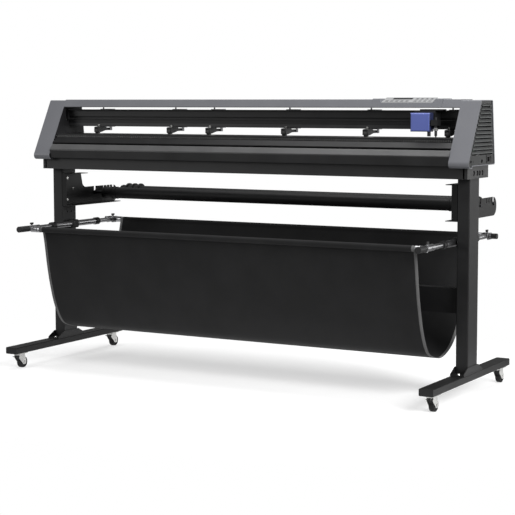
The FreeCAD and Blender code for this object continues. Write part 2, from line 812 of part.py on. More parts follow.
def rear_tube():
    """Slide tube from the side tube to the rear clamp, with spacers for its bolt."""
    start = rear_rail_y - cross_rail_radius - 2
    tube = rod_y(leg_y + slide_tube_end, start, side_tube_x, side_tube_z, slide_tube_radius)
    bolt_y = rear_rail_y - clamp_bolt_reach
    spacers = [rod_x(side_tube_x + s, side_tube_x + s + 4.0, bolt_y, side_tube_z, 6.0)
               for s in (slide_tube_radius - 1, -slide_tube_radius - 3)]
    return fuse([tube] + spacers)


def basket_sheet():
    """Sling of cloth: two hem sleeves joined by one hanging sheet."""
    inner = cross_rail_radius + hem_gap
    outer = inner + cloth_thickness
    half = cloth_half + shift_x
    mid = (inner + outer) / 2.0
    points = [V(0, front_rail_y + 0.7 * mid, front_rail_z - 0.7 * mid)]
    points += [V(0, y, deck - depth) for y, depth in cloth_line]
    points.append(V(0, rear_rail_y - 0.7 * mid, rear_rail_z - 0.7 * mid))
    curve = Part.BSplineCurve()
    curve.interpolate(points)
    first, last = curve.FirstParameter, curve.LastParameter
    steps = 24
    upper = []
    lower = []
    for i in range(steps + 1):
        t = first + (last - first) * i / steps
        p = curve.value(t)
        d = curve.tangent(t)[0]
        n = V(0, -d.z, d.y) * (cloth_thickness / 2.0)
        upper.append(p + n)
        lower.append(p - n)
    sides = []
    for line in (upper, lower):
        edge = Part.BSplineCurve()
        edge.interpolate(line)
        sides.append(edge.toShape())
    ends = [Part.LineSegment(upper[0], lower[0]).toShape(),
            Part.LineSegment(upper[-1], lower[-1]).toShape()]
    face = Part.Face(Part.Wire([sides[0], ends[1], sides[1], ends[0]]))
    face.translate(V(-half, 0, 0))
    sheet = face.extrude(V(2 * half, 0, 0))
    sleeves = []
    cores = []
    for y, z in ((front_rail_y, front_rail_z), (rear_rail_y, rear_rail_z)):
        sleeves.append(rod_x(-half, half, y, z, outer))
        cores.append(rod_x(-half - 1, half + 1, y, z, inner))
    return cut(fuse([sheet] + sleeves), cores)


def build_basket():
    save("basket_cloth", basket_sheet())
    save("basket_side_tubes", both_sides(side_tube()) + both_sides(side_clamp()))
    save("front_cross_rail", front_rail())
    save("front_rail_mounts", both_sides(front_tube()) + both_sides(front_fitting())
         + both_sides(front_cap()))
    save("rear_cross_rail", [rear_rail()] + both_sides(rear_cap()))
    save("rear_rail_mounts", both_sides(rear_tube()) + both_sides(rear_clamp()))


# ---------------------------------------------------------------- machine body
def cover_outline(grow):
    """Side view of an end cover, shrunk inwards by -grow."""
    top = deck + cover_top
    low = base_top
    g = grow
    slope = 0.5                  # front and back faces lean, so corners move a little more
    step = g - base_half_depth - toe_gap
    return [(cover_foot_front - g * 1.15, low - toe_drop - g, max(18 + g, 0.5)),
            (cover_top_front - g * slope, top + g, max(9 + g, 0.5)),
            (cover_top_back + g, top + g, max(9 + g, 0.5)),
            (cover_foot_back + g, low - g, max(9 + g, 0.5)),
            (step, low - g, 0),
            (step, low - toe_drop - g, 0)]


def end_cover():
    """Grey band that wraps the front, top, back and underside of one end."""
    outer = profile_x(cover_outline(0.0), inner_x, outer_x)
    inner = profile_x(cover_outline(-cover_wall), inner_x - 1, outer_x + 1)
    return cut(outer, [inner])


def lever_slot():
    """Slot in the back of the left cover that the load lever moves in."""
    x1 = -inner_x - side_wall_thickness - 1.0
    sink = (cover_foot_back + 1.0 - lift_y) * math.tan(math.radians(lift_angle))
    sink += lever_shank / 2.0 / math.cos(math.radians(lift_angle))
    return box(x1 - 11, x1, cover_top_back - 7, cover_foot_back + 5, lift_z - sink - 4, lift_z + 10)


def side_wall():
    """Steel side wall that carries the end cover."""
    x1 = inner_x + side_wall_thickness
    wall = profile_x(cover_outline(-cover_wall), inner_x, x1)
    slot = box(inner_x - 1, x1 + 1, -19, -6, rail_z0 + 22, rail_z1 + 4)
    grit_hole = rod_x(inner_x - 1, x1 + 1, grit_y, grit_z, grit_journal_radius + run_fit)
    bar_hole = rod_x(inner_x - 1, x1 + 1, lift_y, lift_z, lift_bar_radius + run_fit)
    return cut(wall, [slot, grit_hole, bar_hole])


def panel_posts():
    """Posts from the side wall that the vent panel is screwed to."""
    top = deck + cover_top - 18.0
    low = base_top + vent_screw_height
    return [rod_x(inner_x + side_wall_thickness, outer_x - vent_setback, y, z, 5.0)
            for y, z in ((cover_foot_front + 65, low), (cover_foot_back - 19, low),
                         (cover_top_front + 12, top), (cover_top_back - 27, top))]


def base_bracket():
    """Block that closes one end of the base, with sunk screws and an open joint."""
    x0 = base_half
    x1 = base_half + bracket_width
    d = base_half_depth
    z = deck + bracket_recess_height
    floor = x1 - bracket_recess_depth
    block = box(x0, x1, -d, d, deck, base_top)
    cuts = [box(x0 - 1, x0 + joint_width, -d - 1, joint_depth - d, deck - 1, base_top + 1),
            box(x0 - 1, x0 + joint_width, d - joint_depth, d + 1, deck - 1, base_top + 1)]
    cuts += [rod_x(floor, x1 + 1, y, z, bracket_recess_radius) for y in bracket_recess_places]
    screws = [rod_x(floor, floor + bracket_screw_height, y, z, bracket_screw_radius)
              for y in bracket_recess_places]
    return fuse([cut(block, cuts)] + screws)


def base_box():
    d = base_half_depth
    w = base_wall
    outer = box(-base_half, base_half, -d, d, deck, base_top)
    inner = box(-base_half - 1, base_half + 1, -d + w, d - w, deck + w, base_top - w)
    return cut(outer, [inner])


def platen():
    """Cutting bed: hollow extrusion with windows for the grit drums and a strip groove."""
    top = platen_z
    low = platen_z - platen_thickness
    outer = [(104, low, 0), (104, top - 8, 4), (96, top, 4), (-93, top, 3), (-98, top - 17, 2),
             (-122, top - 38, 2), (-120, low, 0)]
    w = platen_wall
    inner = [(104 - w, low + w, 0), (104 - w, top - 9, 2), (95, top - w, 2), (-90, top - w, 2),
             (-94, top - 19, 1), (-112, top - 36, 0), (-112, low + w, 0)]
    half = inner_x
    body = cut(profile_x(outer, -half, half), [profile_x(inner, -half - 1, half + 1)])
    cuts = []
    for x in pinch_positions:
        reach = grit_length / 2.0 + grit_window_gap
        cuts.append(box(x - reach, x + reach, grit_y - grit_window_half, grit_y + grit_window_half,
                        top - w - 1, top + 1))
    cuts.append(box(-half + 10, half - 10, blade_y - strip_half, blade_y + strip_half,
                    top - 1.0, top + 1))
    return cut(body, cuts)


def front_apron():
    """Rounded nose below the bed that guides the cut sheet down."""
    nose = platen_z - platen_thickness - 4.0
    half = inner_x - seat_gap
    outer = [(-112, nose, 0), (-124, nose, 4), (-144, nose - 24, 9), (-140, base_top, 0),
             (-112, base_top, 0)]
    inner = [(-112, nose - 3, 0), (-122, nose - 3, 2), (-140, nose - 25, 6),
             (-137, base_top + 3, 0), (-112, base_top + 3, 0)]
    w = apron_wall
    shell = cut(profile_x(outer, -half, half), [profile_x(inner, -half + w, half - w)])
    flange = box(-half, half, -114, -base_half_depth + 4, base_top, base_top + w)
    return fuse([shell, flange])


def rear_apron():
    """Back cover below the bed, bent over at the top like the front nose."""
    half = inner_x - seat_gap
    top = platen_z - 12.0
    outer = [(107, base_top, 0), (124, base_top, 0), (122, top - 16, 12), (107, top, 0)]
    return profile_x(outer, -half, half)


def bed_support():
    """Cross plates that carry the bed on the base."""
    low = base_top
    top = platen_z - platen_thickness
    plates = []
    for i in range(5):
        x = (i - 2) * (inner_x - bed_plate_inset) / 2.0
        plates.append(box(x - 3, x + 3, bed_plate_front, bed_plate_back, low, top))
    return plates


def finger_windows():
    """Windows under the rail that the lift bar's fingers swing in."""
    return [box(x - 5, x + 5, lift_y - 7, lift_y + 17, rail_z0 - clip_thickness - 1,
                rail_z0 + rail_wall + 1) for x in pinch_positions]


def rail():
    """Hollow guide rail with a running groove in its front face."""
    y0, y1 = rail_front_y, rail_back_y
    z0, z1 = rail_z0, rail_z1
    outer = profile_x([(y0, z0, 2), (y1, z0, 2), (y1, z1, 2), (y0, z1, 2)], -inner_x, inner_x)
    w = rail_wall
    groove_low = z0 + rail_groove_bottom
    groove_high = groove_low + rail_groove_height
    depth = rail_groove_depth
    hollow = box(-inner_x - 1, inner_x + 1, y0 + depth + w, y1 - w, z0 + w, z1 - w)
    groove = box(-inner_x - 1, inner_x + 1, y0 - 1, y0 + depth, groove_low, groove_high)
    lines = [box(-inner_x - 1, inner_x + 1, y0 - 1, y0 + 1.0, z0 + dz, z0 + dz + 2.0)
             for dz in rail_line_places]
    return cut(outer, [hollow, groove] + lines + finger_windows())


def top_profile(grow):
    """Side view of the top cover: a steep front face and a flat top."""
    low = deck + top_cover_bottom
    top = deck + top_cover_top
    g = grow
    return [(-38 - g, low - g, max(3 + g, 0.4)), (-20 - g * 0.6, top + g, max(5 + g, 0.4)),
            (97 + g, top + g, max(8 + g, 0.4)), (97 + g, low - g, max(3 + g, 0.4))]


def top_cover():
    """Long hollow cover over the rail, with a gap cut for the control panel."""
    half = inner_x
    body = cut(profile_x(top_profile(0.0), -half, half),
               [profile_x(top_profile(-top_cover_wall), -half - 1, half + 1)])
    a = panel_left + shift_x
    b = panel_right + shift_x
    gap = box(a, b, -60, 80, deck + top_cover_bottom + top_cover_wall, deck + top_cover_top + 10)
    return cut(body, [gap])


def panel_housing():
    """Control panel: a slightly raised block with a sloping bed for the keypad."""
    a = panel_left + shift_x + seat_gap
    b = panel_right + shift_x - seat_gap
    low = deck + top_cover_bottom + top_cover_wall
    top = deck + top_cover_top + 3.0
    outline = [(-37, low, 0), (-20, top, 6), (62, top, 6), (79.5, top - 5.5, 2), (79.5, low, 0)]
    body = profile_x(outline, a, b)
    wedge = keypad_cut()
    hollow = box(a + 3, b - 3, -18, 76, low + 3, low + 9)
    return cut(body, [wedge, hollow])


def keypad_cut():
    """Space above the sloping keypad bed, with its ends leaning outwards."""
    slope = math.tan(math.radians(keypad_slope))
    y0 = keypad_front_y - 19.0
    y1 = keypad_front_y + 64.0
    z0 = keypad_front_z - 19.0 * slope
    z1 = z0 + (y1 - y0) * slope
    z2 = z0 + 60.0
    x0 = keypad_left + shift_x - 1.0
    x1 = keypad_right + shift_x + 1.0
    lean = 0.7
    out0 = (z2 - z0) * lean
    out1 = (z2 - z1) * lean
    bottom = [V(x0, y0, z0), V(x1, y0, z0), V(x1, y1, z1), V(x0, y1, z1)]
    top = [V(x0 - out0, y0, z2), V(x1 + out0, y0, z2), V(x1 + out1, y1, z2), V(x0 - out1, y1, z2)]
    return solid_between(bottom, top)


def solid_between(bottom, top):
    """Closed solid from two four-sided loops with the same corner order."""
    faces = []
    for loop in (bottom, top):
        faces.append(Part.Face(Part.makePolygon(loop + [loop[0]])))
    for i in range(4):
        j = (i + 1) % 4
        quad = [bottom[i], bottom[j], top[j], top[i], bottom[i]]
        faces.append(Part.Face(Part.makePolygon(quad)))
    solid = Part.Solid(Part.Shell(faces))
    if solid.Volume < 0:
        solid.reverse()
    return solid


def keypad():
    """Membrane keypad: a thin plate on the slope, with a display window and key domes."""
    slope = math.radians(keypad_slope)
    x0 = keypad_left + shift_x
    x1 = keypad_right + shift_x
    t = keypad_thickness
    base = box(x0, x1, 0, keypad_depth, 0, t)
    window = box(x0 + display_left, x0 + display_right, keypad_depth - 22, keypad_depth - 6,
                 t, t + display_relief)
    places = [(large_key_left + i * large_key_pitch, y) for i in range(4) for y in key_rows]
    places += [(12.0 + i * small_key_pitch, key_rows[0]) for i in range(5)]
    keys = [box(x0 + x, x0 + x + key_width, y, y + key_depth, t, t + key_relief)
            for x, y in places]
    pad = fuse([base, window] + keys)
    pad.rotate(V(0, 0, 0), X_AXIS, math.degrees(slope))
    pad.translate(V(0, keypad_front_y, keypad_front_z))
    return pad


def vent_panel():
    """Outer side panel with a stack of louvres and a screw at each lower corner."""
    g = cover_wall + seat_gap
    plate_x = outer_x - vent_setback
    face_x = plate_x + vent_thickness
    plate = profile_x(cover_outline(-g), plate_x, face_x)
    top = deck + cover_top
    slots = []
    blades = []
    for i in range(vent_rows):
        z = top - vent_first_drop - i * vent_pitch
        # front edge follows the slanted face, the back edge follows the back face
        y0 = cover_top_front - (top - z) * 0.552 + 16.0
        y1 = cover_top_back + (top - z) * 0.119 - 14.0
        slots.append(box(plate_x - 1, plate_x + 4, y0 + 3, y1 - 3, z - vent_slot_bottom,
                         z - vent_slot_top))
        lip = face_x + vent_blade_reach
        blade = [(face_x, z, 0), (lip, z - vent_blade_height + 2.0, 0),
                 (lip, z - vent_blade_height, 0), (face_x, z - vent_blade_height * 0.45, 0)]
        blades.append(profile_y(blade, y0, y1))
    panel = fuse([cut(plate, slots)] + blades)
    low = base_top
    recess = [rod_x(plate_x - 1, plate_x + 4, cover_foot_front + dy, low + vent_screw_height, r)
              for dy, r in vent_recesses]
    inlet = box(plate_x - 1, plate_x + 4, inlet_front, inlet_back, low + inlet_bottom,
                low + inlet_bottom + inlet_height)
    return cut(panel, recess), cut(panel, recess + [inlet])


def build_machine():
    save("base_frame", [base_box()] + both_sides(base_bracket()) + bed_support())
    save("platen", platen())
    save("front_rear_aprons", [front_apron(), rear_apron()])
    save("side_walls", both_sides(side_wall()))
    posts = panel_posts()
    save("panel_posts", posts + [mirror_x(post) for post in posts])
    save("right_end_cover", end_cover())
    save("left_end_cover", cut(mirror_x(end_cover()), [lever_slot()]))
    plain, with_inlet = vent_panel()
    save("vent_panels", [with_inlet, mirror_x(plain)])
    save("top_cover", top_cover())
    save("control_panel", panel_housing())
    save("keypad", keypad())
    save("guide_rail", rail())


# ---------------------------------------------------------------- feed and carriage
def grit_shaft():
    half = inner_x + side_wall_thickness + 4.0
    core = rod_x(-inner_x + 2, inner_x - 2, grit_y, grit_z, grit_core_radius)
    journals = both_sides(rod_x(inner_x - 3, half, grit_y, grit_z, grit_journal_radius))
    drums = [rod_x(x - grit_length / 2.0, x + grit_length / 2.0, grit_y, grit_z, grit_radius)
             for x in pinch_positions]
    return fuse([core] + journals + drums)


def pinch_clip(x):
    """Clip that wraps the rail, with a tab at the top and two lugs for the arm."""
    half = clip_width / 2.0
    t = clip_thickness
    y0, y1 = rail_front_y, rail_back_y
    z0, z1 = rail_z0, rail_z1
    strips = [box(x - half, x + half, y0 + 4, y1 + t, z1, z1 + t),
              box(x - half, x + half, y1, y1 + t, z0 - t, z1 + t),
              box(x - half, x + half, y0 + 30, y1 + t, z0 - t, z0),
              box(x - 3, x + 3, y0 + 4, y0 + 7, z1, deck + top_cover_bottom - 0.5)]
    lug = box(x + half - t, x + half, arm_pivot_y - 8, arm_pivot_y + 8, arm_pivot_z - 7, z0 - t)
    other = moved(lug, -(clip_width - t), 0, 0)
    pin = rod_x(x - half, x + half, arm_pivot_y, arm_pivot_z, arm_pivot_radius)
    return cut(fuse(strips + [lug, other, pin]), finger_windows())


def pinch_arm(x):
    """Forked arm under the rail; its nose reaches forward and carries the wheel."""
    half = arm_width / 2.0
    nose_y = grit_y - 9.0
    side = [(lift_y + 5, arm_pivot_z - 6, 4), (lift_y + 5, arm_pivot_z + 5, 3),
            (rail_front_y + 4, arm_pivot_z + 3, 2), (rail_front_y - 10, rail_z0 + 1, 3),
            (nose_y, rail_z0 - 2, 4), (nose_y, pinch_z - 6, 4), (grit_y + 9, pinch_z - 6, 3),
            (rail_front_y + 2, arm_pivot_z - 7, 3)]
    body = profile_x(side, x - half, x + half)
    pocket = box(x - pinch_width / 2.0 - 1, x + pinch_width / 2.0 + 1, nose_y - 1,
                 grit_y + pinch_radius + 3, pinch_z - 20, rail_z0 - 6)
    window = box(x - half + 4, x + half - 4, -22, 24, arm_pivot_z - 12, arm_pivot_z + 1.5)
    bore = rod_x(x - half - 1, x + half + 1, arm_pivot_y, arm_pivot_z, arm_pivot_radius + run_fit)
    axle = rod_x(x - half, x + half, grit_y, pinch_z, pinch_axle_radius)
    return fuse([cut(body, [pocket, window, bore]), axle])


def pinch_wheel(x):
    wheel = rod_x(x - pinch_width / 2.0, x + pinch_width / 2.0, grit_y, pinch_z, pinch_radius)
    return cut(wheel, [rod_x(x - 20, x + 20, grit_y, pinch_z, pinch_axle_radius + run_fit)])


def belt_axis_z():
    return rail_z0 + belt_height


def carriage_body():
    """Slider in front of the rail, with a tongue in the groove and slots for the belt."""
    a = carriage_left + shift_x
    b = carriage_right + shift_x
    y1 = rail_front_y - touch_gap
    y0 = y1 - carriage_depth
    low = deck + carriage_bottom
    top = rail_z1 - 1.0
    x = blade_x + shift_x
    block = profile_y([(a, low, 4), (b, low, 4), (b, top, 4), (a, top, 4)], y0, y1)
    cap_end = carriage_cap_right + shift_x
    cap = box(carriage_cap_left + shift_x, cap_end, y0 + 6, y1, top, rail_z1 + carriage_cap_rise)
    groove = rail_z0 + rail_groove_bottom
    tongue = box(a + carriage_tongue_inset, b - carriage_tongue_inset, y1 - 1,
                 rail_front_y + rail_groove_depth - touch_gap, groove + touch_gap,
                 groove + rail_groove_height - touch_gap)
    block_z = low + blade_block_low
    nose = box(min(x - blade_block_half, b - 4), x + blade_block_half, blade_y - blade_block_half,
               y0 + 1, block_z, block_z + blade_block_height)
    body = fuse([block, cap, tongue, nose])
    g = belt_slot_gap
    r = pulley_radius + touch_gap
    cuts = []
    for z in (belt_axis_z() + r, belt_axis_z() - r - belt_thickness):
        cuts.append(box(a - 1, max(b, cap_end) + 1, belt_y - belt_width / 2.0 - g,
                        belt_y + belt_width / 2.0 + g, z - g, z + belt_thickness + g))
    cuts.append(rod_z(low, block_z + blade_block_height + 1, x, blade_y, blade_radius + run_fit))
    return cut(body, cuts)


def mark_sensor():
    """Small optical sensor that hangs under the carriage cover, beside the blade."""
    top = deck + carriage_cover_bottom
    return rod_z(top - sensor_drop, top, sensor_x + shift_x, blade_y, sensor_radius)


def carriage_cover():
    """Coloured shell over the front of the carriage, open at the back."""
    a = carriage_cover_left + shift_x
    b = carriage_cover_right + shift_x
    y1 = rail_front_y - touch_gap - carriage_depth
    y0 = y1 - carriage_cover_depth
    low = deck + carriage_cover_bottom
    top = low + carriage_cover_height
    outer = box(a, b, y0, y1, low, top)
    front_edges = [e for e in outer.Edges
                   if all(abs(v.Y - y0) < 1e-6 for v in e.Vertexes)]
    outer = outer.makeFillet(carriage_cover_rounding, front_edges)
    w = carriage_cover_wall
    inner = box(a + w, b - w, y0 + w, y1 + 1, low + w, top - w)
    return cut(outer, [inner])


def blade_holder():
    """Round holder of the drag knife, with a knob and a tapered tip."""
    x = blade_x + shift_x
    low = deck + blade_tip_height
    shank = low + blade_tip_length
    knob_z = low + blade_knob_height
    body = rod_z(shank, shank + blade_body_length, x, blade_y, blade_radius)
    tip = Part.makeCone(1.2, 4.0, blade_tip_length, V(x, blade_y, low), Z_AXIS)
    knob = rod_z(knob_z, knob_z + blade_knob_length, x, blade_y, blade_radius + blade_knob_rim)
    return fuse([body, tip, knob])


def belt_pulley(side):
    x = side * (inner_x + pulley_offset)
    z = belt_axis_z()
    y0 = belt_y - belt_width / 2.0 - 1.0
    y1 = belt_y + belt_width / 2.0 + 1.0
    drum = rod_y(y0, y1, x, z, pulley_radius)
    flange = rod_y(y1, y1 + 1.5, x, z, pulley_radius + pulley_rim)
    bore = rod_y(y0 - 1, y1 + 3, x, z, pulley_pin_radius + run_fit)
    return cut(fuse([drum, flange]), [bore])


def carriage_belt():
    """Closed toothed belt, a hair clear of its two pulleys."""
    x = inner_x + pulley_offset
    z = belt_axis_z()
    r = pulley_radius + touch_gap
    y0 = belt_y - belt_width / 2.0
    y1 = belt_y + belt_width / 2.0

    def loop(radius):
        return fuse([rod_y(y0, y1, x, z, radius), rod_y(y0, y1, -x, z, radius),
                     box(-x, x, y0, y1, z - radius, z + radius)])

    return cut(loop(r + belt_thickness), [loop(r)])


def drive_motors():
    """Carriage motor with its pulley pin on the left, feed motor on the right."""
    xl = -(inner_x + pulley_offset)
    z = belt_axis_z()
    can = rod_y(motor_front, motor_back, xl, z, motor_radius)
    pin = rod_y(belt_y - 6, motor_front, xl, z, pulley_pin_radius)
    plate = box(inner_x + side_wall_thickness, 12 - xl, motor_plate_front, motor_front,
                z - motor_plate_half, z + motor_plate_half)
    x0 = inner_x + side_wall_thickness + 4.0
    feed = rod_x(x0 + 1.0, x0 + 1.0 + feed_motor_length, grit_y, grit_z, feed_motor_radius)
    foot = box(x0 + 6, x0 + 40, grit_y - 18, grit_y + 18, base_top + cover_wall, grit_z - 14)
    return [fuse([can, pin, mirror_x(plate)]), fuse([mirror_x(pin), plate]), fuse([feed, foot])]


def lift_bar():
    """Bar inside the rail; its fingers reach down and tip the pinch arms."""
    x0 = -inner_x - 16.0
    x1 = inner_x - 10.0
    bar = rod_x(x0, x1, lift_y, lift_z, lift_bar_radius)
    fingers = []
    for x in pinch_positions:
        finger = box(x - 3, x + 3, lift_y - 4, lift_y + 4, lift_z - lift_finger, lift_z)
        finger.rotate(V(x, lift_y, lift_z), X_AXIS, lift_angle)
        fingers.append(finger)
    return fuse([bar] + fingers)


def load_lever():
    """Lever inside the left cover; its grip stands out through a slot at the back."""
    x1 = -inner_x - side_wall_thickness - 2.0
    x0 = x1 - lever_thickness
    half = lever_shank / 2.0
    hub = rod_x(x0, x1, lift_y, lift_z, lever_hub_radius)
    shank = box(x0 + 1, x1 - 1, lift_y, lift_y + lever_length, lift_z - half, lift_z + half)
    grip = rod_x(x0 - lever_grip_reach, x1 + 1, lift_y + lever_length, lift_z, lever_grip_radius)
    bore = rod_x(x0 - 1, x1 + 2, lift_y, lift_z, lift_bar_radius)
    return cut(fuse([hub, shank, grip]), [bore])


def electronics():
    """Main board and power supply inside the right end of the base."""
    low = base_top + cover_wall
    wall = inner_x + side_wall_thickness
    x0 = wall + 6.0
    board = box(x0, x0 + 2, 6, 88, low + 48, low + 130)
    spacers = [rod_x(wall, x0, y, low + z, 3.0) for y in (12, 82) for z in (54, 124)]
    chips = [box(x0 + 2, x0 + 6, y, y + 16, low + z, low + z + 16)
             for y, z in ((20, 60), (50, 60), (30, 92), (60, 104))]
    supply = box(x0, x0 + 44, 8, 40, low, low + 38)
    return [fuse([board] + chips + spacers), supply]


def power_inlet():
    """Appliance inlet with a bezel, and a pocket for the rocker beside it."""
    g = seat_gap
    face = outer_x - vent_setback + vent_thickness
    low = base_top + inlet_bottom + g
    high = low + inlet_height - 2 * g
    y0 = inlet_front + g
    y1 = inlet_back - g
    body = box(face - 22.5, face, y0, y1, low, high)
    bezel = box(face, face + 1.5, y0 - 2.5, y1 + 2.5, low - 2, high + 2)
    socket = box(face - 15, face + 2, y0 + 5.5, y0 + 27.5, low + 5, low + 22)
    pins = [box(face - 15, face - 2, y0 + dy, y0 + dy + 2, low + 11, low + 17)
            for dy in (10.0, 15.5, 21.0)]
    rocker = box(face - 13, face + 2, y0 + 31.5, y0 + 43.5, low + 4, low + 23)
    return fuse([cut(fuse([body, bezel]), [socket, rocker])] + pins)


def power_switch():
    """Rocker in the inlet's pocket; its face dips in the middle."""
    face = outer_x - vent_setback + vent_thickness
    mid = base_top + inlet_bottom + seat_gap + 13.5
    y0 = inlet_front + seat_gap + 32.0
    y1 = y0 + 11.0
    barrel = rod_y(y0, y1, face - 4.5, mid, 5.0)
    front = profile_y([(face - 5.5, mid - 6.0, 0), (face + 2.7, mid - 7.0, 0.8), (face + 0.1, mid, 0),
                       (face + 0.7, mid + 7.0, 0.8), (face - 5.5, mid + 6.0, 0)], y0, y1)
    return fuse([barrel, front])


def build_mechanism():
    save("grit_shaft", grit_shaft())
    save("pinch_clips", [pinch_clip(x) for x in pinch_positions])
    save("pinch_arms", [pinch_arm(x) for x in pinch_positions])
    save("pinch_wheels", [pinch_wheel(x) for x in pinch_positions])
    save("carriage_body", [carriage_body(), mark_sensor()])
    save("carriage_cover", carriage_cover())
    save("blade_holder", blade_holder())
    save("carriage_belt", carriage_belt())
    save("drive_pulley", belt_pulley(-1))
    save("idler_pulley", belt_pulley(1))
    save("drive_motors", drive_motors())
    save("load_lever", [load_lever(), lift_bar()])
    save("electronics", electronics())
    save("power_inlet", power_inlet())
    save("power_switch", power_switch())


build_casters()
build_stand()
build_roll_holder()
build_basket()
build_machine()
build_mechanism()
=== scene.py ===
# %% [markdown]
# # A floor-standing vinyl cutter
#
# A vinyl cutter pulls a wide roll of film over a long bed and draws through it with a small
# knife on a carriage. This one stands on two legs with casters, holds the rolls behind it, and
# has a cloth sling below to catch the cut sheet.
#
# The engineering model already holds every hard piece at its true size. This script loads it
# as a fixed frame, then adds what such a model leaves out: how each surface looks, the hanging
# cloth, and small details such as springs, screws and key marks.

# %% Load the frame
import math

import bmesh
import bpy
from mathutils import Matrix, Vector, noise


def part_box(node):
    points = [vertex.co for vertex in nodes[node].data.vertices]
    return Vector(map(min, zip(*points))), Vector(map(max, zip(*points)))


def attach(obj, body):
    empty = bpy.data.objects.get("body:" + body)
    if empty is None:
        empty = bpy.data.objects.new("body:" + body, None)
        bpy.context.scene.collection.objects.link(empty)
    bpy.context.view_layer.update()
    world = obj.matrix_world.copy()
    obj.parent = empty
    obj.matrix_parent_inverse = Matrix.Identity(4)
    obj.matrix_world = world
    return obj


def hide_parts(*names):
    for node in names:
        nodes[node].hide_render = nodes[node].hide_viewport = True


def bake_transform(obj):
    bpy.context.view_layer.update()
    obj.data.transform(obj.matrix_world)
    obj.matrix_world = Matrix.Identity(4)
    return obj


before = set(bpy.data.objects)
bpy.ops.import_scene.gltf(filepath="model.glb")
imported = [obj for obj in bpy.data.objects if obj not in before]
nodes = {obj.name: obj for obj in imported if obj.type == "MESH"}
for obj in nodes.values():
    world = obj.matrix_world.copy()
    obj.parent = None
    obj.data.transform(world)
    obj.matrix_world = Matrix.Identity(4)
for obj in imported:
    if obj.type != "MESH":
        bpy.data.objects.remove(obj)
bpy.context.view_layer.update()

CORNERS = ("front_left", "front_right", "rear_left", "rear_right")

# %% [markdown]
# ## The camera
#
# A long lens from a few metres away keeps the far leg nearly as large as the near one. The
# camera looks a little down and to the left, so that the operator's side and the right end
# both show. A lens shift, rather than a turn, places the machine in the middle of the frame,
# because a turn would make the upright legs lean.

# %% Camera
camera_data = bpy.data.cameras.new("studio_camera")
camera_data.sensor_width = 36.0
camera_data.lens = 105.47     # millimetres
camera_data.shift_x = -0.0429
camera_data.shift_y = -0.0165
camera_data.clip_end = 200.0
camera = bpy.data.objects.new("studio_camera", camera_data)
bpy.context.scene.collection.objects.link(camera)
camera.location = (3.233, -5.540, 1.1697)
looking = Vector((-0.4857, 0.8687, -0.0969))
camera.rotation_euler = looking.to_track_quat("-Z", "Y").to_euler()
bpy.context.scene.camera = camera
print("camera stands", round(camera.location.length, 2), "m from the machine's middle")

# %% [markdown]
# ## Floor and light
#
# Dark paint shows its shape only through what it reflects. One large soft light from the right
# models the sloping covers and the leg's side, a weaker one fills the left, and a wide one
# overhead draws the lines along the long top edges. A panel behind on the right is seen only as
# a sheen on the right-hand faces. The surroundings are seen as almost white, but light the
# machine less, so that black stays black. The floor fades out a few steps from the machine, so
# no horizon cuts the picture.

# %% Floor and light
floor_mesh = bpy.data.meshes.new("studio_floor")
shape = bmesh.new()
bmesh.ops.create_circle(shape, cap_ends=True, segments=96, radius=5.0)
shape.to_mesh(floor_mesh)
shape.free()
studio_floor = bpy.data.objects.new("studio_floor", floor_mesh)
bpy.context.scene.collection.objects.link(studio_floor)
studio_floor.location.z = -0.0005

world = bpy.data.worlds.new("studio")
bpy.context.scene.world = world
world.use_nodes = True
tree = world.node_tree
sky = tree.nodes["Background"]
WHITE = (1.0, 1.0, 1.0, 1.0)
SURROUNDINGS_LIGHT = 0.26     # how strongly the surroundings light the machine
SURROUNDINGS_SEEN = 1.0       # how bright they look
sky.inputs["Color"].default_value = WHITE
seen = tree.nodes.new("ShaderNodeLightPath")
level = tree.nodes.new("ShaderNodeMapRange")
level.inputs["To Min"].default_value = SURROUNDINGS_LIGHT
level.inputs["To Max"].default_value = SURROUNDINGS_SEEN
tree.links.new(seen.outputs["Is Camera Ray"], level.inputs["Value"])
tree.links.new(level.outputs["Result"], sky.inputs["Strength"])


def soft_light(name, place, target, width, height, power):
    data = bpy.data.lights.new(name, "AREA")
    data.shape = "RECTANGLE"
    data.size = width
    data.size_y = height
    data.energy = power
    light = bpy.data.objects.new(name, data)
    bpy.context.scene.collection.objects.link(light)
    light.location = place
    light.rotation_euler = (Vector(target) - Vector(place)).to_track_quat("-Z", "Y").to_euler()
    return light


soft_light("key_light", (5.0, -2.2, 3.4), (0.4, 0.0, 0.6), 2.6, 2.6, 300)
soft_light("fill_light", (-4.5, -5.0, 2.6), (0.0, 0.0, 0.6), 3.0, 2.0, 90)
soft_light("top_light", (0.0, 0.4, 4.6), (0.0, 0.0, 0.8), 4.0, 2.0, 125)
soft_light("rim_light", (6.2, 6.5, 1.6), (0.9, 0.0, 0.7), 5.0, 3.0, 110)
bpy.context.scene.view_settings.view_transform = "Standard"

# %% [markdown]
# ## Writing shader maths as arithmetic
#
# A pattern such as a worn band is a sum in a graph of nodes, which is slow to wire by hand and
# hard to read. The class below wraps one number in that graph, so that `mask * 0.3 + 0.4` adds
# the two Math nodes by itself. Colours go through a Mix node instead, because a Math node would
# turn them grey.

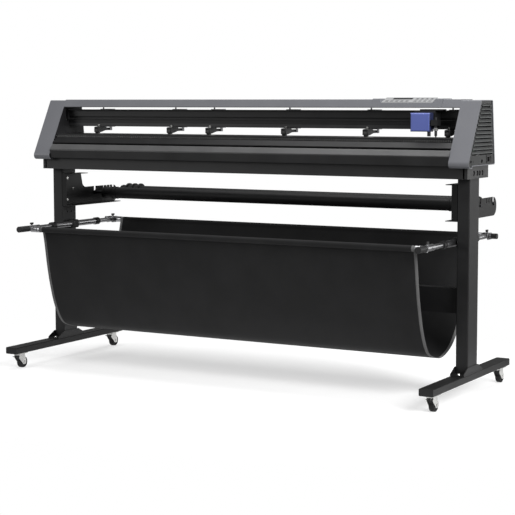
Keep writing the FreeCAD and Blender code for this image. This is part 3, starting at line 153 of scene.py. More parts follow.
# %% Numbers and finishes
class Number:
    """A number in a node graph that works in ordinary expressions."""

    def __init__(self, finish, socket):
        self.finish = finish
        self.socket = socket

    def math(self, operation, *others):
        values = dict(enumerate((self,) + others))
        return self.finish.node("ShaderNodeMath", {"operation": operation}, values)

    def __add__(self, other):
        return self.math("ADD", other)

    def __mul__(self, other):
        return self.math("MULTIPLY", other)

    def __sub__(self, other):
        return self.math("SUBTRACT", other)

    def __truediv__(self, other):
        return self.math("DIVIDE", other)

    def __rsub__(self, other):
        return self * -1.0 + other

    __radd__ = __add__
    __rmul__ = __mul__

    def __abs__(self):
        return self.math("ABSOLUTE")

    def rise(self, low, high):
        """0 below low, 1 above high, smooth between."""
        return self.finish.node("ShaderNodeMapRange", {"interpolation_type": "SMOOTHSTEP"},
                                {"Value": self, "From Min": low, "From Max": high})

    def band(self, low, high, soft=0.0004):
        """1 between low and high."""
        return self.rise(low - soft, low + soft) * (1 - self.rise(high - soft, high + soft))


class Finish:
    """One material: its graph of nodes, and the place of each point on the machine."""

    def __init__(self, name, uv=None):
        self.material = bpy.data.materials.new(name)
        self.material.use_nodes = True
        self.tree = self.material.node_tree
        self.shader = self.tree.nodes["Principled BSDF"]
        if uv:
            self.where = self.node("ShaderNodeUVMap", {"uv_map": uv})
        else:
            self.where = self.node("ShaderNodeTexCoord", out="Object")
        self.x, self.y, self.z = self.parts(self.where)

    def node(self, kind, settings=None, values=None, out=0):
        made = self.tree.nodes.new(kind)
        for key, value in (settings or {}).items():
            setattr(made, key, value)
        for key, value in (values or {}).items():
            if isinstance(value, Number):
                self.tree.links.new(value.socket, made.inputs[key])
            else:
                made.inputs[key].default_value = value
        return Number(self, made.outputs[out])

    def parts(self, vector):
        split = self.tree.nodes.new("ShaderNodeSeparateXYZ")
        self.tree.links.new(vector.socket, split.inputs[0])
        return [Number(self, output) for output in split.outputs]

    def colour(self, first, second, mask):
        """Colour that goes from first to second as mask goes from 0 to 1."""
        ends = [c if isinstance(c, Number) else (*c, 1.0) for c in (first, second)]
        return self.node("ShaderNodeMix", {"data_type": "RGBA"},
                         {0: mask, 6: ends[0], 7: ends[1]}, out=2)

    def clouds(self, scale, detail=2.0, stretch=(1.0, 1.0, 1.0)):
        """Soft noise, from about 0.3 to 0.7; stretch squeezes it along an axis."""
        place = self.node("ShaderNodeMapping", {}, {"Vector": self.where, "Scale": stretch})
        return self.node("ShaderNodeTexNoise", {},
                         {"Vector": place, "Scale": scale, "Detail": detail})

    def facing(self, axis):
        """How far the surface faces along one axis, from -1 to 1."""
        normal = self.node("ShaderNodeNewGeometry", out="Normal")
        return self.parts(normal)[axis]

    def look(self, dark, light, rough, metal=0.0, grain=900.0, depth=0.00002,
             stretch=(1.0, 1.0, 1.0)):
        """A surface that is uneven in tone and gloss, with a fine grain of a given depth."""
        broad = self.clouds(7.0, 3.0)
        fine = self.clouds(grain, 1.0, stretch)
        mix = (broad * 0.6 + fine * 0.4).rise(0.38, 0.62)
        return {"colour": self.colour(dark, light, mix), "rough": (broad - 0.5) * 0.25 + rough,
                "metal": metal, "height": fine * depth}

    def between(self, first, second, mask):
        """One look where mask is 0 and another where it is 1."""
        return {"colour": self.colour(first["colour"], second["colour"], mask),
                "rough": first["rough"] + (second["rough"] - first["rough"]) * mask,
                "metal": mask * (second["metal"] - first["metal"]) + first["metal"],
                "height": first["height"] + (second["height"] - first["height"]) * mask}

    def wear(self, look, **constants):
        """Connects a look to the shader, and sets what is the same all over the surface."""
        sockets = {"colour": "Base Color", "rough": "Roughness", "metal": "Metallic"}
        for key, socket in sockets.items():
            value = look[key]
            if isinstance(value, Number):
                self.tree.links.new(value.socket, self.shader.inputs[socket])
            else:
                self.shader.inputs[socket].default_value = value
        bump = self.node("ShaderNodeBump", {}, {"Height": look["height"], "Distance": 1.0})
        self.tree.links.new(bump.socket, self.shader.inputs["Normal"])
        for key, value in constants.items():
            socket = key.replace("_", " ").title().replace("Ior", "IOR")
            self.shader.inputs[socket].default_value = value
        return self.material


def dress(material, *names):
    """Gives a material to nodes of the frame."""
    for name in names:
        nodes[name].data.materials.clear()
        nodes[name].data.materials.append(material)


floor_finish = Finish("floor_paint")
floor_look = floor_finish.look((0.70, 0.70, 0.70), (0.72, 0.72, 0.72), 0.85, grain=60.0, depth=0.0)
floor_paint = floor_finish.wear(floor_look, specular_ior_level=0.05, emission_strength=0.50)
floor_finish.shader.inputs["Emission Color"].default_value = WHITE
from_middle = (floor_finish.x * floor_finish.x * 0.45 + floor_finish.y * floor_finish.y).math("SQRT")
FADE_START = 0.5
FADE_END = 1.5
shown = 1 - from_middle.rise(FADE_START, FADE_END)
floor_finish.tree.links.new(shown.socket, floor_finish.shader.inputs["Alpha"])
studio_floor.data.materials.append(floor_paint)
print("the floor is painted")

# %% [markdown]
# ## Powder coat
#
# The stand, the base and the roll arms are steel under black powder coat. Baked powder never
# lies quite flat: it has a fine orange-peel ripple that breaks up highlights. The coat is a
# near-black colour with a slightly lighter speck, and a ripple about a millimetre across.
# Surfaces that face up carry a little pale dust, as everything in a workshop does.

# %% Powder coat
def dusty(finish, look, amount):
    """A thin pale dust on surfaces that face up."""
    dust = finish.facing(2).rise(0.6, 1.0) * finish.clouds(18.0, 4.0).rise(0.35, 0.75) * amount
    powder = {"colour": (0.32, 0.32, 0.31), "rough": 0.9, "metal": 0.0, "height": look["height"]}
    return finish.between(look, powder, dust)


coat = Finish("black_powder_coat")
PEEL = 850.0                  # orange-peel ripples per metre
coat_look = coat.look((0.009, 0.009, 0.0095), (0.014, 0.014, 0.0145), 0.46, grain=PEEL, depth=0.00005)
powder_coat = coat.wear(dusty(coat, coat_look, 0.05), specular_ior_level=0.33)
dress(powder_coat, "right_leg", "left_leg", "leg_gussets", "stretcher_beam")
# Painted shade: the feet wear a darker copy of the legs' black coat, so their lit sides read darker.
foot_coat = Finish("foot_powder_coat")
foot_painted_shade_look = foot_coat.look((0.005, 0.005, 0.0053), (0.008, 0.008, 0.0083), 0.48,
                           grain=PEEL, depth=0.00005)
dress(foot_coat.wear(dusty(foot_coat, foot_painted_shade_look, 0.02), specular_ior_level=0.26),
      "right_foot", "left_foot")
# Painted reflection: the base wears a lighter copy of the black coat, standing in for the sheen on its
# front face.
box_coat = Finish("base_powder_coat")
box_painted_reflection_look = box_coat.look((0.017, 0.017, 0.0175), (0.024, 0.024, 0.0245), 0.42, grain=PEEL, depth=0.00004)
dress(box_coat.wear(dusty(box_coat, box_painted_reflection_look, 0.08), specular_ior_level=0.38), "base_frame")
# Painted shade: the roll arms wear a darker copy of the black coat, standing in for the shade on their
# flanges.
folded = Finish("roll_arm_paint")
roll_arm_painted_shade_look = folded.look((0.004, 0.004, 0.0042), (0.008, 0.008, 0.0082), 0.42,
                          grain=PEEL, depth=0.00004)
dress(folded.wear(dusty(folded, roll_arm_painted_shade_look, 0.05), specular_ior_level=0.28),
      "right_roll_arm", "left_roll_arm")
dark = Finish("inner_wall_paint")
dark_look = dark.look((0.006, 0.006, 0.007), (0.010, 0.010, 0.011), 0.6, grain=PEEL, depth=0.00004)
dress(dark.wear(dark_look, specular_ior_level=0.3), "side_walls", "panel_posts")
apron = Finish("apron_paint")
APRON_GRAIN = 1100.0
apron_look = apron.look((0.014, 0.014, 0.0145), (0.019, 0.019, 0.0195), 0.36, grain=APRON_GRAIN)
# Painted highlight: faces that turn upward, such as the apron's nose, get a paler copy of the black
# paint.
nose_painted_highlight = apron.look((0.085, 0.085, 0.086), (0.105, 0.105, 0.106), 0.34, grain=APRON_GRAIN)
apron_with_painted_highlight = apron.between(apron_look, nose_painted_highlight, apron.facing(2).rise(0.25, 0.75))
dress(apron.wear(dusty(apron, apron_with_painted_highlight, 0.06), specular_ior_level=0.42), "front_rear_aprons")
print("powder coat:", len(coat.tree.nodes), "nodes")

# %% [markdown]
# ## Moulded plastic
# The two end covers, the long top cover and the control panel are moulded in a cool grey with
# a fine even texture, which spreads highlights softly. Black parts such as the vent panels, the
# foot caps and the carriage use the same recipe, darker and a little rougher. The louvres' lips
# are painted paler, as a painted highlight along each lip.

# %% Moulded plastic
def moulded(name, dark_tone, light_tone, rough, grain=1500.0, dust=0.05, **constants):
    finish = Finish(name)
    look = finish.look(dark_tone, light_tone, rough, grain=grain, depth=0.00002)
    return finish.wear(dusty(finish, look, dust), **constants)


cover_grey = moulded("cover_plastic", (0.150, 0.153, 0.167), (0.162, 0.165, 0.179), 0.44,
                     specular_ior_level=0.45)
dress(cover_grey, "right_end_cover", "left_end_cover", "top_cover", "control_panel")
black_plastic = moulded("black_plastic", (0.008, 0.008, 0.0085), (0.013, 0.013, 0.0135), 0.5,
                        specular_ior_level=0.32)
dress(black_plastic, "foot_end_caps", "right_roll_stop", "left_roll_stop", "carriage_body",
      "power_inlet", "power_switch")
for corner in CORNERS:
    dress(black_plastic, corner + "_brake")

vent = Finish("vent_plastic")
vent_base = vent.look((0.010, 0.011, 0.011), (0.018, 0.019, 0.019), 0.5, grain=1200.0)
# Painted highlight: the lips of the louvres get a paler copy of the vent's black.
vent_lip_painted_highlight = vent.look((0.030, 0.033, 0.032), (0.042, 0.046, 0.045), 0.42, grain=1200.0)
vent_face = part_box("vent_panels")[1].x
LIP_START = 0.0022            # the paler lip begins this far below the outer face
LIP_END = 0.0004
lip = abs(vent.x).rise(vent_face - LIP_START, vent_face - LIP_END)
dress(vent.wear(vent.between(vent_base, vent_lip_painted_highlight, lip), specular_ior_level=0.45), "vent_panels")

blue = Finish("carriage_blue")
blue_look = blue.look((0.100, 0.132, 0.400), (0.112, 0.146, 0.430), 0.34, grain=1400.0, depth=0.000012)
# Painted shade: the cover's end faces, which face along the machine, get a darker copy of the blue.
blue_painted_shade = blue.look((0.018, 0.024, 0.070), (0.024, 0.030, 0.080), 0.38, grain=1400.0, depth=0.000012)
blue_with_painted_shade_ends = blue.between(blue_look, blue_painted_shade, abs(blue.facing(0)).rise(0.45, 0.8))
dress(blue.wear(blue_with_painted_shade_ends, specular_ior_level=0.4, coat_weight=0.10, coat_roughness=0.25),
      "carriage_cover")
print("moulded plastics are done")

# %% [markdown]
# ## Bare and plated metal
#
# Casters and bolts are bright zinc: nearly white, with faint cloudy patches where the plating
# crystallised. Rails and tubes are drawn steel, whose fine lines run along the tube, so the
# noise is squeezed across it and stretched along it. Several pieces join metal to black
# plastic, so one finish blends the two by place, with the places read from the frame.

# %% Metal
ALONG_X = (0.02, 1.0, 1.0)
ALONG_Y = (1.0, 0.02, 1.0)


def zinc(finish):
    return finish.look((0.50, 0.50, 0.49), (0.74, 0.74, 0.72), 0.26, 1.0, 260.0, 0.00002)


def steel(finish, stretch):
    return finish.look((0.34, 0.34, 0.35), (0.55, 0.55, 0.56), 0.34, 1.0, 900.0, 0.000012, stretch)


def plastic(finish):
    return finish.look((0.007, 0.007, 0.0075), (0.012, 0.012, 0.0125), 0.5, 0.0, 1200.0, 0.00002)


plated = Finish("bright_zinc")
bright_zinc = plated.wear(zinc(plated))
dress(bright_zinc, "caster_plates", "stand_bolts")
for corner in CORNERS:
    dress(bright_zinc, corner + "_fork")

rail_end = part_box("rear_cross_rail")[1].x
tube = Finish("cross_rail_steel")
CAP_LENGTH = 0.025
EDGE = 0.0002                 # half the width over which one surface turns into another
capped = abs(tube.x).rise(rail_end - CAP_LENGTH - EDGE, rail_end - CAP_LENGTH + EDGE)
dress(tube.wear(tube.between(steel(tube, ALONG_X), plastic(tube), capped)),
      "front_cross_rail", "rear_cross_rail")

side = Finish("side_tube_steel")
tube_low, tube_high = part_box("basket_side_tubes")
COLLAR_LENGTH = 0.030
BEYOND = 0.01                 # a mask runs on past the end of a piece by this much
collars = (side.y.band(tube_low.y - BEYOND, tube_low.y + COLLAR_LENGTH)
           + side.y.band(tube_high.y - COLLAR_LENGTH, tube_high.y + BEYOND))
leg_middle = (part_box("right_leg")[0].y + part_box("right_leg")[1].y) / 2
CLAMP_BEHIND = 0.0225         # the leg clamp reaches this far behind the leg's middle
CLAMP_BEFORE = 0.0185
black_parts = collars + side.y.band(leg_middle - CLAMP_BEFORE, leg_middle + CLAMP_BEHIND)
dress(side.wear(side.between(steel(side, ALONG_Y), plastic(side), black_parts)), "basket_side_tubes")

mounts = Finish("rail_mount_steel")
mount_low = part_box("front_rail_mounts")[0]
tube_z = (tube_low.z + tube_high.z) / 2
FRONT_CAP = 0.0640            # length of the long plastic caps
WING_START = 0.0152           # the wing screws begin this far above the tube's middle
cap = 1 - mounts.y.rise(mount_low.y + FRONT_CAP - EDGE, mount_low.y + FRONT_CAP + EDGE)
wing = mounts.z.rise(tube_z + WING_START - EDGE, tube_z + WING_START + EDGE)
cap_or_wing = (cap + wing).math("MINIMUM", 1.0)
dress(mounts.wear(mounts.between(steel(mounts, ALONG_Y), plastic(mounts), cap_or_wing)),
      "front_rail_mounts", "rear_rail_mounts")

shaft = Finish("roll_shaft_paint")
shaft_paint = shaft.look((0.010, 0.010, 0.0105), (0.016, 0.016, 0.0165), 0.52, 0.0, 500.0, 0.00004)
blued = shaft.look((0.020, 0.020, 0.022), (0.036, 0.036, 0.038), 0.4, 0.8, 900.0, 0.00001, ALONG_X)
JOURNAL_LENGTH = 0.0625       # bare steel at each end of a roll shaft
shaft_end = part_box("front_roll_shaft")[1].x
axle = abs(shaft.x).rise(shaft_end - JOURNAL_LENGTH, shaft_end - JOURNAL_LENGTH + 0.0005)
dress(shaft.wear(shaft.between(shaft_paint, blued, axle), specular_ior_level=0.22),
      "front_roll_shaft", "back_roll_shaft")
print("rear cross rail is capped", round(rail_end - CAP_LENGTH, 3), "m from the middle")

# %% [markdown]
# ## Bed, rail and feed
#
# The bed and the guide rail are black anodised aluminium. Drawn metal keeps faint lines along
# its length even under the dye. The cutting strip in the bed is a soft white-grey band of
# plastic that the knife may touch. Tick marks along the front slope help the operator to line
# up the sheet; they are plain marks every ten millimetres, longer every fifty.

# %% Bed, rail and feed
bed = Finish("bed_anodised")
bed_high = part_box("platen")[1]
bed_base = bed.look((0.009, 0.009, 0.0095), (0.014, 0.014, 0.0145), 0.42, 0.2, 700.0, 0.00001, ALONG_X)
strip_tone = bed.look((0.020, 0.020, 0.020), (0.030, 0.030, 0.030), 0.7, 0.0, 900.0, 0.00001)
STRIP_FRONT = -0.0800
STRIP_BACK = -0.0720
strip = (bed.y.band(STRIP_FRONT, STRIP_BACK) * bed.z.rise(bed_high.z - 0.0014, bed_high.z - 0.0011)
         * bed.facing(2).rise(0.5, 0.9))
mark_tone = bed.look((0.30, 0.30, 0.29), (0.36, 0.36, 0.35), 0.6, 0.0, 900.0, 0.0)
MARK_TOP = 0.0075             # top of every tick, below the bed's top
marks_top = bed_high.z - MARK_TOP


def tick_marks(half_step, length):
    """Ticks along the bed, two half steps apart."""
    near = 1 - bed.x.math("PINGPONG", half_step).rise(0.0003, 0.0005)
    return near * bed.z.band(marks_top - length, marks_top, 0.0002)


ticks = tick_marks(0.005, 0.0055)
long_ticks = tick_marks(0.025, 0.0080)
slope = (0 - bed.facing(1)).rise(0.5, 0.8) * bed.facing(2).rise(0.05, 0.2)
marks = (ticks + long_ticks).math("MINIMUM", 1.0) * slope
dressed_bed = bed.between(bed.between(bed_base, strip_tone, strip), mark_tone, marks)
dress(bed.wear(dressed_bed, specular_ior_level=0.2), "platen")

rail = Finish("rail_anodised")
rail_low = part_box("guide_rail")[0]
rail_look = rail.look((0.010, 0.010, 0.0105), (0.015, 0.015, 0.0155), 0.40, 0.2, 700.0, 0.00001, ALONG_X)
lower_look = rail.look((0.028, 0.028, 0.029), (0.038, 0.038, 0.039), 0.36, 0.2, 700.0, 0.00001, ALONG_X)
LOWER_PART = 0.0150           # height of the rail's paler lower part
lower = 1 - rail.z.rise(rail_low.z + LOWER_PART - 0.0005, rail_low.z + LOWER_PART + 0.0005)
dress(rail.wear(rail.between(rail_look, lower_look, lower), specular_ior_level=0.32), "guide_rail")

arms = Finish("pinch_arm_plastic")
dress(arms.wear(plastic(arms)), "pinch_arms")
clips = Finish("pinch_clip_steel")
clip_look = clips.look((0.10, 0.10, 0.105), (0.16, 0.16, 0.165), 0.36, 0.9, 900.0, 0.00002)
dress(clips.wear(clip_look), "pinch_clips")



def distance_from_axis(finish, name):
    """How far each point lies from a round piece's own axis, and the axis's height."""
    low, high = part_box(name)
    middle_y, middle_z = (low.y + high.y) / 2, (low.z + high.z) / 2
    off_y = finish.y - middle_y
    off_z = finish.z - middle_z
    return (off_y * off_y + off_z * off_z).math("SQRT"), middle_z


feed = Finish("grit_shaft_steel")
grit = feed.look((0.20, 0.20, 0.20), (0.44, 0.43, 0.42), 0.72, 0.7, 1600.0, 0.00025)
from_axis, axis_z = distance_from_axis(feed, "grit_shaft")
on_drum = from_axis.rise(0.0112, 0.0116)
dress(feed.wear(feed.between(steel(feed, ALONG_X), grit, on_drum)), "grit_shaft")
print("bed top at", round(bed_high.z, 3), "m; drum axis at", round(axis_z, 3), "m")

# %% [markdown]
# ## Rubber, belt and small parts
#
# Each tyre is soft black rubber on a hard grey core. The core and the tyre are one solid in the
# frame, so the finish measures how far a point lies from the axle and changes there. The
# drive belt shows its teeth as fine dark ridges across it.

# %% Rubber, belt and small parts
CORE_RADIUS = 0.0170
for corner in CORNERS:
    tyre = Finish(corner + "_tyre_rubber")
    from_hub, hub_z = distance_from_axis(tyre, corner + "_wheel")
    rubber = tyre.look((0.005, 0.005, 0.005), (0.010, 0.010, 0.010), 0.72, 0.0, 600.0, 0.00006)
    core = tyre.look((0.018, 0.018, 0.019), (0.030, 0.030, 0.031), 0.5, 0.0, 1200.0, 0.00002)
    on_tyre = from_hub.rise(CORE_RADIUS - EDGE, CORE_RADIUS + EDGE)
    dress(tyre.wear(tyre.between(core, rubber, on_tyre), specular_ior_level=0.3), corner + "_wheel")

pinch = Finish("pinch_wheel_rubber")
dress(pinch.wear(pinch.look((0.020, 0.020, 0.020), (0.034, 0.034, 0.033), 0.6, 0.0, 900.0, 0.00004)),
      "pinch_wheels")

belt = Finish("belt_rubber")
tooth = belt.x.math("PINGPONG", 0.0015).rise(0.0004, 0.0011)
belt_look = belt.look((0.014, 0.014, 0.014), (0.026, 0.026, 0.025), 0.7, 0.0, 900.0, 0.00002)
belt_look["height"] = belt_look["height"] + tooth * 0.0002
dress(belt.wear(belt_look), "carriage_belt")

pulley = Finish("pulley_nylon")
dress(pulley.wear(pulley.look((0.50, 0.49, 0.46), (0.62, 0.61, 0.58), 0.5, 0.0, 1200.0, 0.00002)),
      "drive_pulley", "idler_pulley")

motor = Finish("motor_paint")
dress(motor.wear(motor.look((0.030, 0.030, 0.032), (0.050, 0.050, 0.052), 0.4, 0.4, 700.0, 0.00003)),
      "drive_motors")

board = Finish("circuit_board")
board_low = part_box("electronics")[0]
board_look = board.look((0.012, 0.075, 0.030), (0.020, 0.120, 0.048), 0.35, 0.0, 300.0, 0.00001)
chip_look = board.look((0.012, 0.012, 0.013), (0.020, 0.020, 0.021), 0.45, 0.0, 900.0, 0.00001)
tin_look = zinc(board)
on_chip = board.x.rise(board_low.x + 0.0085, board_low.x + 0.0090)
on_supply = 1 - board.z.rise(board_low.z + 0.0385, board_low.z + 0.0390)
dress(board.wear(board.between(board.between(board_look, chip_look, on_chip), tin_look, on_supply)),
      "electronics")

lever = Finish("load_lever_steel")
GRIP_LENGTH = 0.0175
grip_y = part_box("load_lever")[1].y - GRIP_LENGTH
grip = lever.y.rise(grip_y, grip_y + EDGE)
dress(lever.wear(lever.between(steel(lever, ALONG_X), plastic(lever), grip)), "load_lever")

holder = Finish("blade_holder_metal")
holder_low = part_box("blade_holder")[0]
KNOB_BOTTOM = 0.0255          # heights above the blade's tip
KNOB_TOP = 0.0365
TIP_HEIGHT = 0.0060
knob = holder.z.band(holder_low.z + KNOB_BOTTOM, holder_low.z + KNOB_TOP)
holder_look = holder.between(plastic(holder), zinc(holder), knob)
tip = 1 - holder.z.rise(holder_low.z + TIP_HEIGHT - EDGE, holder_low.z + TIP_HEIGHT + EDGE)
dress(holder.wear(holder.between(holder_look, steel(holder, ALONG_X), tip)), "blade_holder")
print("grip starts at", round(grip_y, 3), "m")

# %% [markdown]
# ## The keypad
#
# A membrane keypad is one printed film: pale grey, with darker keys and a black window over the
# display. The film lies on a slope, so the finish first turns the point's place back by the
# same angle. Then each key is a soft-edged rectangle in flat coordinates, and the same masks
# give the key's colour.

# %% Keypad finish
film = Finish("keypad_film")
pad_low, pad_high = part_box("keypad")
slope_angle = math.radians(20.0)
along = film.x - pad_low.x
up_slope = (film.y - pad_low.y) * math.cos(slope_angle) + (film.z - pad_low.z) * math.sin(slope_angle)
pale = film.look((0.30, 0.303, 0.307), (0.34, 0.343, 0.347), 0.42, 0.0, 1800.0, 0.000012)
key_tone = film.look((0.17, 0.172, 0.178), (0.20, 0.202, 0.208), 0.38, 0.0, 1800.0, 0.000008)
glass = film.look((0.006, 0.007, 0.008), (0.009, 0.010, 0.011), 0.12, 0.0, 1800.0, 0.0)


KEY_WIDTH = 0.0150
KEY_DEPTH = 0.0140
KEY_GAP = 0.0003
# place of the first key, number of keys, pitch and lower edge of each row of keys
LOW_ROW = (0.136, 4, 0.021, 0.009)
HIGH_ROW = (0.136, 4, 0.021, 0.034)
MENU_ROW = (0.012, 5, 0.022, 0.009)


def row_of_keys(start, count, pitch, low):
    """A mask that is 1 on a row of keys."""
    inside = (along - start).math("MODULO", pitch)
    last = start + (count - 1) * pitch + KEY_WIDTH
    return (inside.band(KEY_GAP, KEY_WIDTH - KEY_GAP) * along.band(start - EDGE, last + EDGE)
            * up_slope.band(low + KEY_GAP, low + KEY_DEPTH - KEY_GAP))


keys = row_of_keys(*LOW_ROW) + row_of_keys(*HIGH_ROW) + row_of_keys(*MENU_ROW)
window = along.band(0.036, 0.122) * up_slope.band(0.036, 0.052)
film_look = film.between(film.between(pale, key_tone, keys), glass, window)
dress(film.wear(film_look, specular_ior_level=0.5), "keypad")
print("keypad is", round(pad_high.x - pad_low.x, 3), "m wide")

# %% [markdown]
# ## Making pieces
#
# Small pieces are modelled with bmesh, which works on a mesh the way a modeller does: start
# from a ring, extrude, inset, bevel. The helper below takes such a mesh, closes it up, hands it
# to Blender at the origin, and says which body of the frame it moves with.

# %% Helper for new pieces
def piece(name, mesh, material, body, recalculate=True):
    """Turns a bmesh into a named object that rides on a body of the frame."""
    bmesh.ops.remove_doubles(mesh, verts=mesh.verts, dist=0.000001)
    if recalculate:
        bmesh.ops.recalc_face_normals(mesh, faces=mesh.faces)
    data = bpy.data.meshes.new(name)
    mesh.to_mesh(data)
    mesh.free()
    made = bpy.data.objects.new(name, data)
    bpy.context.scene.collection.objects.link(made)
    data.materials.append(material)
    if body:
        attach(made, body)
    print(name, len(data.polygons), "faces")
    return made


def turned(mesh, outline, axis, centre, steps=32):
    """Spins an outline of (radius, height) points into a closed turned shape along an axis."""
    axis = Vector(axis)
    side_way = axis.orthogonal().normalized()
    centre = Vector(centre)
    points = [mesh.verts.new(centre + side_way * r + axis * h) for r, h in outline]
    edges = [mesh.edges.new(pair) for pair in zip(points, points[1:])]
    bmesh.ops.spin(mesh, geom=points + edges, cent=centre, axis=axis, angle=math.tau,
                   steps=steps, use_merge=True)


# %% [markdown]
# ## The basket's cloth
#
# The basket is one strip of woven polyester. Each long edge is sewn into a sleeve round a cross
# rail, and between the rails the cloth hangs in a deep curve. It could be made by a cloth
# simulation, but a strip this wide and taut settles into almost the same curve at every
# section, so the curve itself is the better start: a flat grid is bent along it, then given the
# shallow billows and the small puckers beside the seams that real cloth has.
#
# Each rail can slide, so the strip is made as two panels that meet at its lowest line. Each
# panel follows the machine at that line and its own rail at the top.

# %% Line of the cloth
half_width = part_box("basket_cloth")[1].x
front_rail = (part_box("front_cross_rail")[0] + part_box("front_cross_rail")[1]) / 2
rear_rail = (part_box("rear_cross_rail")[0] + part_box("rear_cross_rail")[1]) / 2
sleeve = 0.0118               # radius of the sleeve round a rail
front_leave = math.radians(-12.0)
rear_leave = math.radians(192.0)


def on_ring(rail_middle, angle):
    y = rail_middle.y + sleeve * math.cos(angle)
    z = rail_middle.z + sleeve * math.sin(angle)
    return Vector((0.0, y, z))


hanging = [on_ring(front_rail, front_leave)]
down_front = [(-0.276, 0.550), (-0.261, 0.455), (-0.241, 0.365), (-0.210, 0.270), (-0.164, 0.195),
              (-0.104, 0.167), (-0.040, 0.156)]
up_back = [(0.020, 0.168), (0.075, 0.194), (0.125, 0.240), (0.170, 0.304), (0.210, 0.378),
           (0.248, 0.457), (0.281, 0.537)]
hanging += [Vector((0.0, y, z)) for y, z in down_front + up_back]
hanging.append(on_ring(rear_rail, rear_leave))
STEPS = 10                    # rows of the cloth between two points of its line


def smooth_line(points, steps=STEPS):
    """A smooth curve through the points, by Catmull and Rom's rule."""
    ends = [points[0] * 2 - points[1]] + points + [points[-1] * 2 - points[-2]]
    line = []
    for a, b, c, d in zip(ends, ends[1:], ends[2:], ends[3:]):
        for i in range(steps):
            t = i / steps
            line.append(0.5 * ((2 * b) + (c - a) * t + (2 * a - 5 * b + 4 * c - d) * t ** 2
                               + (3 * b - a - 3 * c + d) * t ** 3))
    return line + [points[-1]]


sling = smooth_line(hanging)
lowest = len(down_front) * STEPS
front_turn = [on_ring(front_rail, front_leave + math.radians(a)) for a in range(330, 0, -15)]
rear_turn = [on_ring(rear_rail, rear_leave - math.radians(a)) for a in range(15, 345, 15)]
front_line = list(reversed(front_turn + sling[:lowest + 1]))
rear_line = sling[lowest:] + rear_turn


def length_of(line):
    return sum((b - a).length for a, b in zip(line, line[1:]))


print("panel lengths:", round(length_of(front_line), 3), round(length_of(rear_line), 3), "m")

# %% [markdown]
# The weave is drawn on the cloth's own flat coordinates, so it follows every fold. Two sets of
# threads cross at right angles: one ripple along the strip and one across it, multiplied. The
# ends of the strip are bound with a lighter tape, sewn with a row of short stitches.

# %% Weave finish
def weave(name, width, length, tape_tone):
    """Charcoal polyester weave with pale bound ends, on coordinates from 0 to 1."""
    cloth = Finish(name, uv="cloth_uv")
    across = cloth.x * width
    down = cloth.y * length
    thread = 0.0011           # spacing of the threads
    stitch_pitch = 0.0025
    warp = (across * (math.tau / thread)).math("SINE")
    weft = (down * (math.tau / thread)).math("SINE")
    place = cloth.node("ShaderNodeCombineXYZ", {}, {0: across, 1: down})
    mottle = cloth.node("ShaderNodeTexNoise", {}, {"Vector": place, "Scale": 9.0, "Detail": 5.0})
    fuzz = cloth.node("ShaderNodeTexNoise", {}, {"Vector": place, "Scale": 800.0, "Detail": 1.0})
    tone = (mottle * 0.6 + fuzz * 0.4).rise(0.35, 0.65)
    woven = {"colour": cloth.colour((0.0130, 0.0130, 0.0134), (0.0165, 0.0165, 0.0170), tone),
             "rough": (fuzz - 0.5) * 0.2 + 0.80, "metal": 0.0,
             "height": warp * weft * 0.00006 + fuzz * 0.00005}
    tape = {"colour": cloth.colour((tape_tone,) * 3, (tape_tone * 1.25,) * 3, tone),
            "rough": (fuzz - 0.5) * 0.2 + 0.75, "metal": 0.0,
            "height": (down * (math.tau / 0.0016)).math("SINE") * 0.00008}
    from_end = (cloth.x - 0.5).math("ABSOLUTE") * (-width) + width / 2
    bound = 1 - from_end.rise(0.0122, 0.0127)
    stitch = (from_end.band(0.0100, 0.0106, 0.0001)
              * down.math("PINGPONG", stitch_pitch).rise(0.0008, 0.0011))
    thread_look = {**tape, "colour": (0.05, 0.05, 0.05), "rough": 0.7}
    look = cloth.between(cloth.between(woven, tape, bound), thread_look, stitch)
    return cloth.wear(look, specular_ior_level=0.14, sheen_weight=0.04, sheen_roughness=0.5)


# %% [markdown]
# A grid of squares is laid flat, with its own flat coordinates, and every row is then carried
# to its place on the line. The billows come from smooth noise, strongest half-way down; the
# puckers are finer and fade out a hand's width from the seam.

# %% Cloth panels
COLUMNS = 150
CLOTH_THICKNESS = 0.0012
BILLOW = 0.0045               # how far the cloth leaves its line, in metres
RIPPLE = 0.0014
PUCKER = 0.0008
PUCKER_REACH = 0.07


